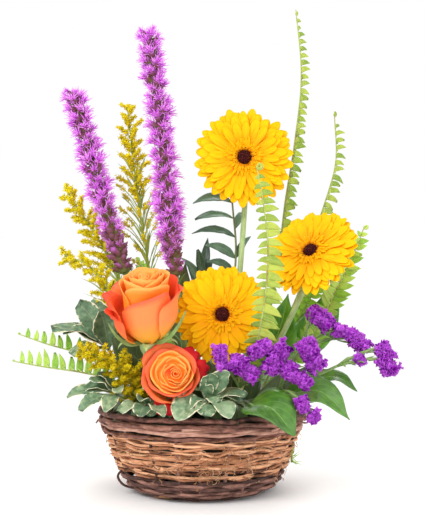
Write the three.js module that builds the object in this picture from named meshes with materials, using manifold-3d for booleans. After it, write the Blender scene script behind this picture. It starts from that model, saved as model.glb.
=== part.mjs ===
// A florist's basket arrangement: a round twig basket with a plastic liner and a block of wet foam,
// and in the foam yellow gerberas, orange roses, purple liatris spikes, goldenrod, statice, sword fern,
// variegated pittosporum, salal leaves and ruscus. Millimetres, +Z up, -Y is the front.
// The origin is on the surface that the basket stands on, under the middle of its base.
import * as THREE from "three";
import { mergeVertices } from "three/addons/utils/BufferGeometryUtils.js";
import Module from "manifold-3d";

const wasm = await Module();
wasm.setup();

// Driving dimensions
const BASKET_TOP_RADIUS = 110;
const BASKET_HEIGHT = 86;
const WALL_TOP = 66;
const BASE_RADIUS = 60;
const WALL_THICKNESS = 6;
const STAKES = 16;
const COURSES = 7;
const FOAM_TOP = 96;
const CLEARANCE = 0.4;
const GERBERA_RADIUS = 49;
const GERBERA_RAYS = 18;

// Colours, with the roughness of each surface
const finish = (color, roughness) => new THREE.MeshStandardMaterial({ color, roughness, metalness: 0 });
const BARK = finish(0x8a5a3c, 0.85);
const DARK_BARK = finish(0x4e3229, 0.85);
const LINER_PLASTIC = finish(0x1f2a22, 0.4);
const FOAM_GREEN = finish(0x2f5a3a, 0.95);
const STEM_GREEN = finish(0x8fb070, 0.6);
const GERBERA_YELLOW = finish(0xffc907, 0.55);
const GERBERA_DISC = finish(0x3a0d18, 0.8);
const ROSE_ORANGE = finish(0xff7a3a, 0.5);
const LIATRIS_PURPLE = finish(0xc545dd, 0.7);
const GOLDENROD_YELLOW = finish(0xd9b70e, 0.8);
const STATICE_PURPLE = finish(0x8f1bb8, 0.75);
const FERN_GREEN = finish(0x9fc455, 0.6);
const PITTOSPORUM_GREEN = finish(0x6f8f72, 0.5);
const SALAL_GREEN = finish(0x4f9226, 0.35);
const RUSCUS_GREEN = finish(0x3f6b3f, 0.45);

const at = (x, y, z) => new THREE.Vector3(x, y, z);
const UP = at(0, 0, 1);
const FRONT = at(0, -1, 0);

// The draws are seeded, so the plants come out the same on every run.
let seed = 20;
function random(low = 0, high = 1) {
  seed = (seed * 1664525 + 1013904223) % 4294967296;
  return low + (high - low) * (seed / 4294967296);
}

// Solids

function solidOf(geometry) {
  const bare = geometry.clone().deleteAttribute("normal").deleteAttribute("uv");
  const merged = mergeVertices(bare, 1e-4);
  return new wasm.Manifold(
    new wasm.Mesh({
      numProp: 3,
      vertProperties: merged.attributes.position.array,
      triVerts: new Uint32Array(merged.index.array),
    }),
  );
}

function geometryOf(solid) {
  const { vertProperties, triVerts } = solid.getMesh();
  return new THREE.BufferGeometry()
    .setAttribute("position", new THREE.BufferAttribute(vertProperties, 3))
    .setIndex(new THREE.BufferAttribute(triVerts, 1));
}

const join = (solids) => wasm.Manifold.union(solids);

function largest(solid) {
  const bodies = solid.decompose().sort((a, b) => b.volume() - a.volume());
  return bodies[0];
}

// The solid with every corner moved out along its normal, for cutting a neighbour clear of it.
function swollen(solid, by = CLEARANCE) {
  const geometry = geometryOf(solid);
  geometry.computeVertexNormals();
  const { position, normal } = geometry.attributes;
  for (let i = 0; i < position.count; i++) {
    position.setXYZ(
      i,
      position.getX(i) + by * normal.getX(i),
      position.getY(i) + by * normal.getY(i),
      position.getZ(i) + by * normal.getZ(i),
    );
  }
  geometry.deleteAttribute("normal");
  return solidOf(geometry);
}

function boxesMeet(a, b) {
  const [p, q] = [a.boundingBox(), b.boundingBox()];
  return [0, 1, 2].every((k) => p.min[k] <= q.max[k] && q.min[k] <= p.max[k]);
}

// Skins, stations and blades

const middleOf = (points) =>
  points.reduce((sum, p) => sum.add(p), at(0, 0, 0)).divideScalar(points.length);

// A closed skin over rings of points, each counter-clockwise seen from the end that the rings run to.
// A first or last ring may be a single point. sprout may grow a facet out through sections of four
// points or a last single one, and with a tuft every side of that growth is raised to a point.
// The diagonals mirror each other on the two faces of a flat ring.
function skin(rings, sprout = () => null) {
  const corners = [];
  const faces = [];
  const numbered = (ring) => ring.map((corner) => corners.push(corner) - 1);
  const cap = (ring) => {
    for (let k = 1; k < ring.length - 1; k++) faces.push(ring[0], ring[k], ring[k + 1]);
  };
  const raised = (ring, tuft) => {
    const [a, b, c, d] = ring.map((number) => corners[number]);
    const outward = c.clone().sub(a).cross(d.clone().sub(b)).normalize();
    const [apex] = numbered([middleOf([a, b, c, d]).addScaledVector(outward, tuft * random(0.7, 1.2))]);
    ring.forEach((number, k) => faces.push(number, ring[(k + 1) % 4], apex));
  };
  const wall = (lower, upper, side, tuft) => {
    const next = (side + 1) % Math.max(lower.length, upper.length);
    const [a, b, c, d] = [lower[side], lower[next], upper[next], upper[side]];
    if (upper.length === 1) faces.push(a, b, upper[0]);
    else if (lower.length === 1) faces.push(lower[0], c, d);
    else if (tuft) raised([a, b, c, d], tuft);
    else if (side % 2) faces.push(a, b, d, b, c, d);
    else faces.push(a, b, c, a, c, d);
  };
  const growthOn = (row, side) => {
    const [lower, upper] = [rings[row], rings[row + 1]];
    if (lower.length !== upper.length) return null;
    const next = (side + 1) % lower.length;
    const middle = middleOf([lower[side], lower[next], upper[next], upper[side]]);
    const along = middleOf(upper).sub(middleOf(lower)).normalize();
    const outward = middle.clone().sub(middleOf([...lower, ...upper]));
    outward.addScaledVector(along, -outward.dot(along)).normalize();
    return sprout({ row, side, middle, along, outward });
  };

  const index = rings.map(numbered);
  for (let row = 0; row < rings.length - 1; row++) {
    const sides = Math.max(rings[row].length, rings[row + 1].length);
    for (let side = 0; side < sides; side++) {
      const growth = growthOn(row, side);
      if (!growth) {
        wall(index[row], index[row + 1], side);
        continue;
      }
      const next = (side + 1) % sides;
      let from = [index[row][side], index[row][next], index[row + 1][next], index[row + 1][side]];
      for (const ring of growth.sections) {
        const section = numbered(matched(ring, from.map((number) => corners[number])));
        for (let k = 0; k < 4; k++) wall(from, section, k, growth.tuft);
        from = section;
      }
      cap(from);
    }
  }
  cap([...index[0]].reverse());
  cap(index.at(-1));
  const positions = corners.flatMap((corner) => corner.toArray());
  const geometry = new THREE.BufferGeometry()
    .setAttribute("position", new THREE.Float32BufferAttribute(positions, 3))
    .setIndex(faces);
  return solidOf(geometry);
}

// Places along a smooth curve, each with the way along it, the way it faces and its side.
function stations(points, face, shares) {
  const curve = new THREE.CatmullRomCurve3(points);
  return shares.map((share) => {
    const along = curve.getTangentAt(share);
    const up = face.clone().addScaledVector(along, -face.dot(along)).normalize();
    return { place: curve.getPointAt(share), along, up, side: up.clone().cross(along) };
  });
}

// A leaf or petal: rings of a thin lens round its midrib, and its tip. widths lists
// [share of the length, half width]. curl bends the edges towards the face, and wave lifts one edge
// and drops the other by turns.
function leafRings(midrib, face, widths, { thick = 1.2, curl = 0, wave = 0, across = 1 } = {}) {
  const rows = stations(midrib, face, widths.map(([share]) => share));
  const steps = 2 * across;
  const rings = rows.map(({ place, up, side }, row) =>
    Array.from({ length: 2 * steps }, (_, k) => {
      const share = k <= steps ? 1 - k / across : -1 + (k - steps) / across;
      const lift = k % steps ? (k < steps ? thick / 2 : -thick / 2) : 0;
      const reach = widths[row][1] * share;
      const bend = curl * reach * reach + wave * share * (row % 2 ? 1 : -1);
      return place.clone().addScaledVector(side, reach).addScaledVector(up, bend + lift);
    }),
  );
  return [...rings, [midrib.at(-1)]];
}

const blade = (...shape) => skin(leafRings(...shape));

// The ring started at the corner that lies best on those of another ring.
function matched(ring, other) {
  const turned = ring.map((_, start) => ring.map((_, k) => ring[(start + k) % ring.length]));
  const apart = (corners) => corners.reduce((sum, corner, k) => sum + corner.distanceTo(other[k]), 0);
  return ring.length === other.length ? turned.sort((a, b) => apart(a) - apart(b))[0] : ring;
}

// Rings of a round stalk along a curve, one for each radius.
function rodRings(points, radii, sides, face = FRONT) {
  const shares = radii.map((_, k) => k / (radii.length - 1));
  return stations(points, face, shares).map(({ place, up, side }, row) =>
    Array.from({ length: sides }, (_, k) => {
      const angle = ((k + 0.5 * (row % 2)) * 2 * Math.PI) / sides;
      return place
        .clone()
        .addScaledVector(side, radii[row] * Math.cos(angle))
        .addScaledVector(up, radii[row] * Math.sin(angle));
    }),
  );
}

// A stem of one thickness, with flat cut ends.
function stem(points, radius, { sides = 4, steps = 6 } = {}) {
  const section = new THREE.Shape(
    Array.from({ length: sides }, (_, k) => {
      const angle = (k * 2 * Math.PI) / sides;
      return new THREE.Vector2(radius * Math.cos(angle), radius * Math.sin(angle));
    }),
  );
  const extrudePath = new THREE.CatmullRomCurve3(points);
  return solidOf(new THREE.ExtrudeGeometry(section, { steps, extrudePath, bevelEnabled: false }));
}

// Straight square holes in the foam, one for each stem, from its foot to where it leaves the foam.
const holes = [];

function hole(foot, leaves, radius) {
  const way = leaves.clone().sub(foot).normalize();
  const over = leaves.clone().addScaledVector(way, 12);
  const under = foot.clone().addScaledVector(way, -CLEARANCE);
  holes.push(stem([under, over], 1.42 * (radius + 1.3), { steps: 1 }));
}

// A stem that stands in the foam: its first two points are its foot and where it leaves the foam.
function rooted([foot, exit, ...rest], radius, shape) {
  hole(foot, exit, radius);
  return stem([foot, foot.clone().lerp(exit, 0.75), exit, ...rest], radius, shape);
}

// A stem with leaves grown out of it: each leaf has its share of the stem's length, its tip and its
// shape, and leaves the stem by the side that looks the way the tip lies.
function leafyStem([foot, exit, ...rest], radius, leaves) {
  hole(foot, exit, radius);
  const stalk = [foot, foot.clone().lerp(exit, 0.75), exit, ...rest];
  const half = 2 / new THREE.CatmullRomCurve3(stalk).getLength();
  const nodes = [...new Set(leaves.map(({ share }) => share))].sort((a, b) => a - b);
  const shares = [0, 0.16, 0.32, ...nodes.flatMap((share) => [share - half, share + half])];
  const rows = stations(stalk, FRONT, shares);
  const rings = rows.map(({ place, up, side }) =>
    [[1, -1], [1, 1], [-1, 1], [-1, -1]].map(([right, front]) =>
      place.clone().addScaledVector(side, 0.8 * right * radius).addScaledVector(up, 0.8 * front * radius),
    ),
  );
  return skin([...rings, [stalk.at(-1)]], ({ row, side, middle, outward }) => {
    const facing = (way) => rings[row].map((corner, k) => {
      const edge = corner.clone().add(rings[row][(k + 1) % 4]).multiplyScalar(0.5).sub(rows[row].place);
      return edge.normalize().dot(way);
    });
    const leaf = leaves.find(({ share, tip }) => {
      if (Math.abs(shares[row] + half - share) > 1e-9) return false;
      const looks = facing(tip.clone().sub(middle).normalize());
      return looks.indexOf(Math.max(...looks)) === side;
    });
    if (!leaf) return null;
    const bend = middle.clone().lerp(leaf.tip, 0.5).addScaledVector(outward, 2).add(at(0, 0, leaf.arch));
    return { sections: leafRings([middle, bend, leaf.tip], leaf.face, leaf.widths, leaf.shape) };
  });
}

// Turns a flower built round +Z to its own facing, and sets it in its place.
function placed(solid, place, facing, turn = 0) {
  const matrix = new THREE.Matrix4().compose(
    place,
    new THREE.Quaternion()
      .setFromUnitVectors(UP, facing.clone().normalize())
      .multiply(new THREE.Quaternion().setFromAxisAngle(UP, turn)),
    at(1, 1, 1),
  );
  return solid.transform(matrix.elements);
}

// Basket, border, liner and foam

const WALL_PROFILE = new THREE.CatmullRomCurve3(
  [at(BASE_RADIUS, 0, 0), at(79, 0, 9), at(88, 0, 24), at(98, 0, 50), at(BASKET_TOP_RADIUS, 0, BASKET_HEIGHT)],
);

function wallRadius(height) {
  let [low, high] = [0, 1];
  while (high - low > 1e-4) {
    const middle = (low + high) / 2;
    if (WALL_PROFILE.getPoint(middle).z < height) low = middle;
    else high = middle;
  }
  return WALL_PROFILE.getPoint(low).x;
}

// Moves each corner of a lathe-turned shape in or out by what relief gives for its turn and height.
// The points of a profile made here are (radius, height), and LatheGeometry turns them round +Y.
function turned(profile, segments, relief = () => 0) {
  const geometry = new THREE.LatheGeometry(profile, segments).rotateX(Math.PI / 2);
  const { position } = geometry.attributes;
  for (let i = 0; i < position.count; i++) {
    const turn = Math.floor(i / profile.length) % segments;
    const row = i % profile.length;
    const radius = Math.hypot(position.getX(i), position.getY(i));
    const scale = radius ? (radius + relief(turn, row)) / radius : 1;
    position.setXYZ(i, position.getX(i) * scale, position.getY(i) * scale, position.getZ(i));
  }
  const solid = solidOf(geometry);
  return solid.volume() < 0 ? solidOf(flipped(geometry)) : solid;
}

function flipped(geometry) {
  const order = geometry.index.array;
  for (let i = 0; i < order.length; i += 3) [order[i + 1], order[i + 2]] = [order[i + 2], order[i + 1]];
  return geometry;
}

// The wall and floor are woven in one: each course of twigs passes in front of every other stake.
function wovenBasket() {
  const pitch = (WALL_TOP - 4) / COURSES;
  const outside = [];
  for (let course = 0; course < COURSES; course++) {
    const height = 4 + pitch * course;
    outside.push([wallRadius(height) - 1, height, null]);
    outside.push([wallRadius(height + pitch / 2), height + pitch / 2, course]);
  }
  const inside = [WALL_TOP, 40, 14].map((height) => [wallRadius(height) - WALL_THICKNESS, height, null]);
  const rows = [
    [0, 0, null],
    [BASE_RADIUS, 0, null],
    ...outside,
    [wallRadius(WALL_TOP) - 1, WALL_TOP, null],
    ...inside,
    [BASE_RADIUS - 2, 5, null],
    [0, 5, null],
  ];
  const relief = (turn, row) => {
    const course = rows[row][2];
    return course === null ? 0 : 0.9 + ((turn + course) % 2 ? 1.3 : -0.7);
  };
  return turned(rows.map(([radius, height]) => new THREE.Vector2(radius, height)), 2 * STAKES, relief);
}

// The border is three dark rods laid round together, which rise and dip over each other.
function border() {
  const low = WALL_TOP + 0.4;
  const profile = [
    [wallRadius(low) - 8, low],
    [wallRadius(low) + 1, low],
    [wallRadius(low + 7) + 3, low + 7],
    [wallRadius(low + 14) + 2, low + 14],
    [BASKET_TOP_RADIUS - 3, BASKET_HEIGHT],
    [BASKET_TOP_RADIUS - 9, BASKET_HEIGHT - 3],
    [wallRadius(low) - 8, low],
  ].map(([radius, height]) => new THREE.Vector2(radius, height));
  const relief = (turn, row) => (row > 1 && row < 5 ? 1.4 * Math.sin((turn * Math.PI) / 3 + 2 * row) : 0);
  return turned(profile, 2 * STAKES, relief);
}

function liner() {
  const heights = [24, 50, 74];
  const outer = heights.map((height) => new THREE.Vector2(wallRadius(height) - 10, height));
  const inner = heights.map((height) => new THREE.Vector2(wallRadius(height) - 11.5, height)).reverse();
  const floor = [new THREE.Vector2(0, 5.4), new THREE.Vector2(BASE_RADIUS - 4, 5.4)];
  const inside = [new THREE.Vector2(BASE_RADIUS - 6, 7), new THREE.Vector2(0, 7)];
  return turned([...floor, ...outer, ...inner, ...inside], 14);
}

function foamBlock() {
  const profile = [
    [0, 7.4],
    [BASE_RADIUS - 8, 7.4],
    [wallRadius(24) - 14, 24],
    [82, 50],
    [82, 80],
    [68, FOAM_TOP],
    [0, FOAM_TOP],
  ].map(([radius, height]) => new THREE.Vector2(radius, height));
  return turned(profile, 16);
}

// Gerbera: two layers of strap rays and a ring of short inner florets round a dark disc

function gerberaRays() {
  const rings = [
    [6, -5, 0],
    [9, -1.6, 0],
    [9, -0.6, 0],
    [9, 0.6, 0.5],
    [9, 1.5, 0.5],
    [8.6, 2.4, 0],
    [8, 3.4, 0],
  ].map(([radius, height, twist]) =>
    Array.from({ length: GERBERA_RAYS }, (_, k) => {
      const angle = ((k + twist) * 2 * Math.PI) / GERBERA_RAYS;
      return at(radius * Math.cos(angle), radius * Math.sin(angle), height);
    }),
  );
  const layers = {
    1: { reach: GERBERA_RADIUS, half: 5.8, rise: 2, droop: 3.5 },
    3: { reach: 0.97 * GERBERA_RADIUS, half: 5.6, rise: 5, droop: 3 },
    5: { reach: 0.5 * GERBERA_RADIUS, half: 1.6, rise: 4, droop: 0 },
  };
  return skin(rings, ({ row, middle, outward }) => {
    const layer = layers[row];
    if (!layer) return null;
    const across = UP.clone().cross(outward);
    const length = layer.reach * random(0.94, 1.02);
    const lift = random(-0.5, 0.5);
    const section = (share, half, thick) =>
      [[-half, -thick], [half, -thick], [half, thick], [-half, thick]].map(([side, z]) =>
        outward
          .clone()
          .multiplyScalar(length * share)
          .addScaledVector(across, side)
          .setZ(middle.z + z / 2 + (layer.rise + lift) * share - layer.droop * share * share),
      );
    const tip = [middleOf(section(1, 1, 0.1))];
    if (row === 5) return { sections: [tip] };
    if (row === 3) return { sections: [section(0.8, layer.half, 0.8), tip] };
    return { sections: [section(0.76, layer.half, 0.9), section(0.99, 0.55 * layer.half, 0.8)] };
  });
}

function gerberaDisc() {
  const rings = [[7.4, 3.9], [7.4, 5.2], [5, 6.6], [2, 6.2]].map(([radius, height], row) =>
    Array.from({ length: 8 }, (_, k) => {
      const angle = ((k + 0.5 * (row % 2)) * Math.PI) / 4;
      return at(radius * Math.cos(angle), radius * Math.sin(angle), height);
    }),
  );
  return skin(rings, ({ row, middle, outward }) =>
    row === 1 ? { sections: [[middle.clone().addScaledVector(outward, 0.8).add(at(0, 0, 0.9))]] } : null,
  );
}

function gerbera(name, centre, facing, turn, stalk) {
  const way = facing.clone().normalize();
  const back = (distance) => centre.clone().addScaledVector(way, -distance);
  const cup = placed(turned([[0, -15], [3.4, -15], [8.6, -9], [9.4, -5.4], [0, -5.4]]
    .map(([radius, height]) => new THREE.Vector2(radius, height)), 8), centre, facing);
  return [
    [name + "_stem", join([rooted([...stalk, back(22), back(14)], 3, { sides: 6 }), cup]), STEM_GREEN],
    [name + "_rays", placed(gerberaRays(), centre, facing, turn), GERBERA_YELLOW],
    [name + "_disc", placed(gerberaDisc(), centre, facing, turn), GERBERA_DISC],
  ];
}

// Rose: cupped petals inside each other, three to a round, with the last ones rolled out
const ROSE_ROUNDS = [
  { radius: 27, top: 0.88 },
  { radius: 19.5, top: 0.97 },
  { radius: 12.5, top: 1 },
  { radius: 6, top: 0.98 },
];

function roseBloom(height, outerTurns) {
  const ring = (radius, z, level, lobe) =>
    Array.from({ length: 12 }, (_, k) => {
      const angle = (k * Math.PI) / 6;
      const wave = lobe * Math.cos(3 * angle + 2 * level);
      const reach = radius + 0.5 * wave;
      return at(reach * Math.cos(angle), reach * Math.sin(angle), z + wave);
    });
  const rounds = ROSE_ROUNDS.flatMap(({ radius, top }, level) => [
    ring(radius, top * height, level, 2.4),
    ring(radius - 1.8, top * height - 0.6, level, 2.2),
    ring(radius - 3.6, top * height - 10, level, 0),
  ]);
  const cup = [ring(6, 3, 0, 0), ring(15, 8, 0, 0), ring(23, 0.3 * height, 0, 0), ring(25.5, 0.62 * height, 0, 1)];
  const outer = outerTurns.map((turn) => {
    const out = (reach, z) => at(reach * Math.cos(turn), reach * Math.sin(turn), z);
    const midrib = [out(15, 12), out(26, 0.36 * height), out(30, 0.62 * height), out(38, 0.86 * height)];
    const widths = [[0, 8], [0.4, 17], [0.84, 15]];
    return blade(midrib, out(-1, 0.1), widths, { thick: 1.4, curl: 0.015, wave: 1, across: 2 });
  });
  return join([skin([...cup, ...rounds.slice(0, -1)]), ...outer]);
}

function rose(name, base, facing, turn, stalk, height, outerTurns) {
  const way = facing.clone().normalize();
  const back = (distance) => base.clone().addScaledVector(way, -distance);
  const hip = turned([[0, -10], [3, -10], [6.5, -5], [6, 1], [9, 2.4], [0, 2.4]]
    .map(([radius, z]) => new THREE.Vector2(radius, z)), 7);
  const sepals = Array.from({ length: 5 }, (_, k) => {
    const angle = (k * 2 * Math.PI) / 5 + 0.3;
    const out = (radius, z) => at(radius * Math.cos(angle), radius * Math.sin(angle), z);
    return blade([out(5, 0), out(16, -1), out(27, 0), out(36, 7)], UP, [[0, 1.6], [0.4, 3]]);
  });
  const calyx = placed(join([hip, ...sepals]), base, facing, turn);
  return [
    [name + "_stem", join([rooted([...stalk, back(16), back(8)], 3, { sides: 5 }), calyx]), STEM_GREEN],
    [name + "_bloom", placed(roseBloom(height, outerTurns), base, facing, turn), ROSE_ORANGE],
  ];
}

// Liatris: a spike packed with tufted heads, on a stalk with grassy leaves

function liatris(name, stalk, spike) {
  const rows = 20;
  const radii = Array.from({ length: rows }, (_, k) => 6.4 - 3.2 * (k / (rows - 1)) ** 3);
  const tufts = skin(rodRings(spike, radii, 6), ({ row, middle, outward, along }) => {
    const open = Math.min(1, 0.55 + row / 12);
    const reach = open * random(5.5, 9.5) * (row > rows - 5 ? 0.8 : 1);
    return { sections: [[middle.addScaledVector(outward, reach).addScaledVector(along, random(1.5, 6))]] };
  });
  const joint = stalk.at(-1).clone().lerp(stalk.at(-2), 0.004);
  const curve = new THREE.CatmullRomCurve3(stalk);
  const leaves = [0.45, 0.62, 0.78, 0.92].map((share, k) => {
    const tip = curve.getPointAt(share).add(at(24 * Math.cos(2.4 * k + 1), 24 * Math.sin(2.4 * k + 1), 42));
    return { share, tip, arch: -6, face: UP, widths: [[0.35, 2.2], [0.7, 1.8]] };
  });
  return [
    [name + "_stem", leafyStem([...stalk.slice(0, -1), joint], 2.4, leaves), STEM_GREEN],
    [name + "_spike", tufts, LIATRIS_PURPLE],
  ];
}

// Goldenrod: rounds of arching branchlets crowded with tiny heads, on a thin leafy stem

function goldenrod(name, [foot, exit, ...rest], { rounds, bare, reach, leaves }) {
  hole(foot, exit, 1.6);
  const stalk = [foot, foot.clone().lerp(exit, 0.75), exit, ...rest];
  const length = new THREE.CatmullRomCurve3(stalk).getLength();
  const nodes = Array.from({ length: rounds }, (_, k) => bare + ((0.99 - bare) * k) / (rounds - 0.6));
  const emerges = foot.distanceTo(exit) / length;
  const shares = [0, emerges, 0.5 * (emerges + bare), ...nodes.flatMap((share) => [share, share + 4 / length])];
  const rings = stations(stalk, FRONT, shares).map(({ place, up, side }, row) =>
    [[1, -1], [1, 1], [-1, 1], [-1, -1]].map(([right, front]) => {
      const half = 1.4 - (0.5 * row) / shares.length;
      return place.clone().addScaledVector(side, right * half).addScaledVector(up, front * half);
    }),
  );
  const spray = skin([...rings, [stalk.at(-1)]], ({ row, side, middle, outward, along }) => {
    const node = (row - 3) / 2;
    if (node < 0 || node % 1 || (side + node) % 4 === 0) return null;
    const out = reach * (1 - 0.6 * (node / rounds)) * random(0.8, 1.15);
    const across = along.clone().cross(outward);
    const arch = random(0.25, 0.5);
    const section = (share, half) => {
      const way = outward.clone().addScaledVector(along, 0.9 - 1.2 * share).normalize();
      const normal = way.clone().cross(across);
      const rise = out * (0.9 * share - 0.7 * share * share + arch * share * 0.3);
      const centre = middle.clone().addScaledVector(outward, out * share).addScaledVector(along, rise);
      return [[-1, -1], [1, -1], [1, 1], [-1, 1]].map(([a, b]) =>
        centre.clone().addScaledVector(across, a * half).addScaledVector(normal, b * half),
      );
    };
    return { sections: [section(0.42, 2.3), section(0.8, 2), [middleOf(section(1.05, 1))]], tuft: 3.6 };
  });
  const blades = leaves.map(([share, turn]) => {
    const [{ place }] = stations(stalk, FRONT, [share]);
    const out = at(Math.cos(turn), Math.sin(turn), 0);
    const bend = place.clone().addScaledVector(out, 14).add(at(0, 0, 12));
    return blade([place, bend, place.clone().addScaledVector(out, 30).add(at(0, 0, 20))], UP, [[0, 1], [0.4, 2.6]]);
  });
  return [name, join([spray, ...blades]), GOLDENROD_YELLOW];
}

// Sword fern: a rib with a leaflet on each side facet and a curled tip. fold turns the two rows of
// leaflets up towards the face of the frond, as a V.
const BARE_STEPS = 3;

function fern(name, [foot, exit, ...rest], face, { pairs, bare, leaflet, fold = 0, lanceolate = false }) {
  hole(foot, exit, 1.5);
  const rib = [foot, foot.clone().lerp(exit, 0.75), exit, ...rest];
  const shares = [
    ...Array.from({ length: BARE_STEPS }, (_, k) => (bare * k) / BARE_STEPS),
    ...Array.from({ length: pairs + 1 }, (_, k) => bare + ((1 - bare) * k) / pairs),
  ];
  const rows = stations(rib, face, shares);
  const rings = rows.map(({ place, up, side }, row) => {
    const half = 1.2 - (0.5 * row) / rows.length;
    return [[1, 1], [-1, 1], [-1, -1], [1, -1]].map(([right, front]) =>
      place.clone().addScaledVector(side, right * half).addScaledVector(up, front * half),
    );
  });
  const end = stations(rib, face, [1])[0];
  const crook = [[2.6, -1], [2.6, 1.6]].map(([half, on]) =>
    [[1, 1], [-1, 1], [-1, -1], [1, -1]].map(([right, front]) =>
      end.place
        .clone()
        .addScaledVector(end.side, right * half * 0.8)
        .addScaledVector(end.up, front * half)
        .addScaledVector(end.along, on),
    ),
  );
  const frond = skin([...rings.slice(0, -1), ...crook], ({ row, side, middle, outward, along }) => {
    if (row < BARE_STEPS || row > rings.length - 3 || side % 2 === 0) return null;
    const share = (row - BARE_STEPS) / pairs;
    const length = leaflet * Math.min(0.7 + 1.5 * share, 1.3 - 0.9 * share) * random(0.9, 1.1);
    const { up } = rows[row];
    const reach = (part) =>
      middle
        .clone()
        .addScaledVector(outward, length * part * Math.cos(fold))
        .addScaledVector(up, length * part * (Math.sin(fold) - random(0, 0.1)))
        .addScaledVector(along, length * (0.3 * share * part + 0.15 * part * part));
    if (!lanceolate) return { sections: [[reach(1)]] };
    const half = 0.36 * rows[row + 1].place.distanceTo(rows[row].place);
    const corners = side === 1 ? [[-1, 1], [-1, -1], [1, -1], [1, 1]] : [[-1, -1], [-1, 1], [1, 1], [1, -1]];
    const waist = reach(0.55);
    const section = corners.map(([forward, front]) =>
      waist.clone().addScaledVector(along, forward * half).addScaledVector(up, front * 0.4),
    );
    return { sections: [section, [reach(1)]] };
  });
  return [name, frond, FERN_GREEN];
}

// Statice: a forking stem, each fork ending in a curved cluster of frilly heads

function cluster(points, radius) {
  const count = Math.round(points[0].distanceTo(points.at(-1)) / 9) + 3;
  const radii = Array.from({ length: count }, (_, k) => radius * (0.36 + 0.3 * Math.sin((3 * (k + 0.7)) / count)));
  return skin(rodRings(points, radii, 5), ({ middle, outward, along }) => {
    const way = outward.clone().addScaledVector(along, random(-0.2, 0.5));
    return { sections: [[middle.addScaledVector(way, radius * random(0.45, 0.75))]] };
  });
}

function statice(name, stalk, clusters) {
  const fork = stalk.at(-1);
  const knot = solidOf(new THREE.IcosahedronGeometry(3.2, 0)).translate(fork.toArray());
  const pieces = [rooted(stalk, 2, { steps: 5 }), knot];
  for (const { from, to, radius, lift = 4 } of clusters) {
    const [near, far] = [at(...from), at(...to)];
    const middle = near.clone().lerp(far, 0.5).add(at(0, 0, lift));
    const bend = near.clone().lerp(fork, 0.4).add(at(0, 0, -3));
    pieces.push(stem([fork, bend, near.clone().lerp(middle, 0.3)], 1.1, { sides: 3, steps: 2 }));
    pieces.push(cluster([near, middle, far], radius));
  }
  return [name, join(pieces), STATICE_PURPLE];
}

// Variegated pittosporum: a whorl of wavy leaves at the end of a woody twig

function whorl(name, stalk, tips) {
  const centre = stalk.at(-1).clone().lerp(stalk.at(-2), 0.06);
  const leaves = tips.map(([x, y, z, half = 9]) => {
    const tip = at(x, y, z);
    const arch = centre.distanceTo(tip) * 0.16;
    const middle = centre.clone().lerp(tip, 0.55).add(at(0, 0, arch));
    const face = tip.z - centre.z > 25 ? at(0.1, -1, 0.2) : at(0, -0.35, 1);
    const widths = [[0, 1], [0.45, half * 0.7], [0.8, half * 0.9]];
    return blade([centre, middle, tip], face, widths, { curl: 0.012, wave: 1.1 });
  });
  const bud = solidOf(new THREE.OctahedronGeometry(6.5, 0)).translate(centre.toArray());
  return [name, join([rooted(stalk, 1.7, { steps: 3 }), bud, ...leaves]), PITTOSPORUM_GREEN];
}

// Salal: a broad leathery leaf on its own stalk

function salal(name, foot, base, middle, tip, half, face, across = 1) {
  const exit = foot.clone().lerp(base, (FOAM_TOP - foot.z) / (base.z - foot.z));
  hole(foot, exit, 1.4);
  const widths = [[0.12, half * 0.66], [0.4, half], [0.78, half * 0.56]];
  const leaf = leafRings([base, middle, tip], face, widths, { thick: 1.3, curl: 0.009, across });
  const petiole = rodRings([foot, exit, base], [1.4, 1.4, 1.3, 1.2], 4 * across, face);
  const rings = [...petiole, ...leaf];
  rings.forEach((ring, row) => (rings[row] = row ? matched(ring, rings[row - 1]) : ring));
  return [name, skin(rings), SALAL_GREEN];
}

// Ruscus: narrow pointed leaves in pairs on a wiry stem

function ruscus(name, stalk, tips) {
  const leaves = tips.map(([share, x, y, z, half = 5.5]) => ({
    share,
    tip: at(x, y, z),
    arch: 3,
    face: at(0, -0.8, 0.6),
    widths: [[0.3, 0.8 * half], [0.62, half * 0.9]],
    shape: { curl: 0.02 },
  }));
  return [name, leafyStem(stalk, 1.3, leaves), RUSCUS_GREEN];
}

const path = (...points) => points.map((point) => at(...point));

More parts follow.
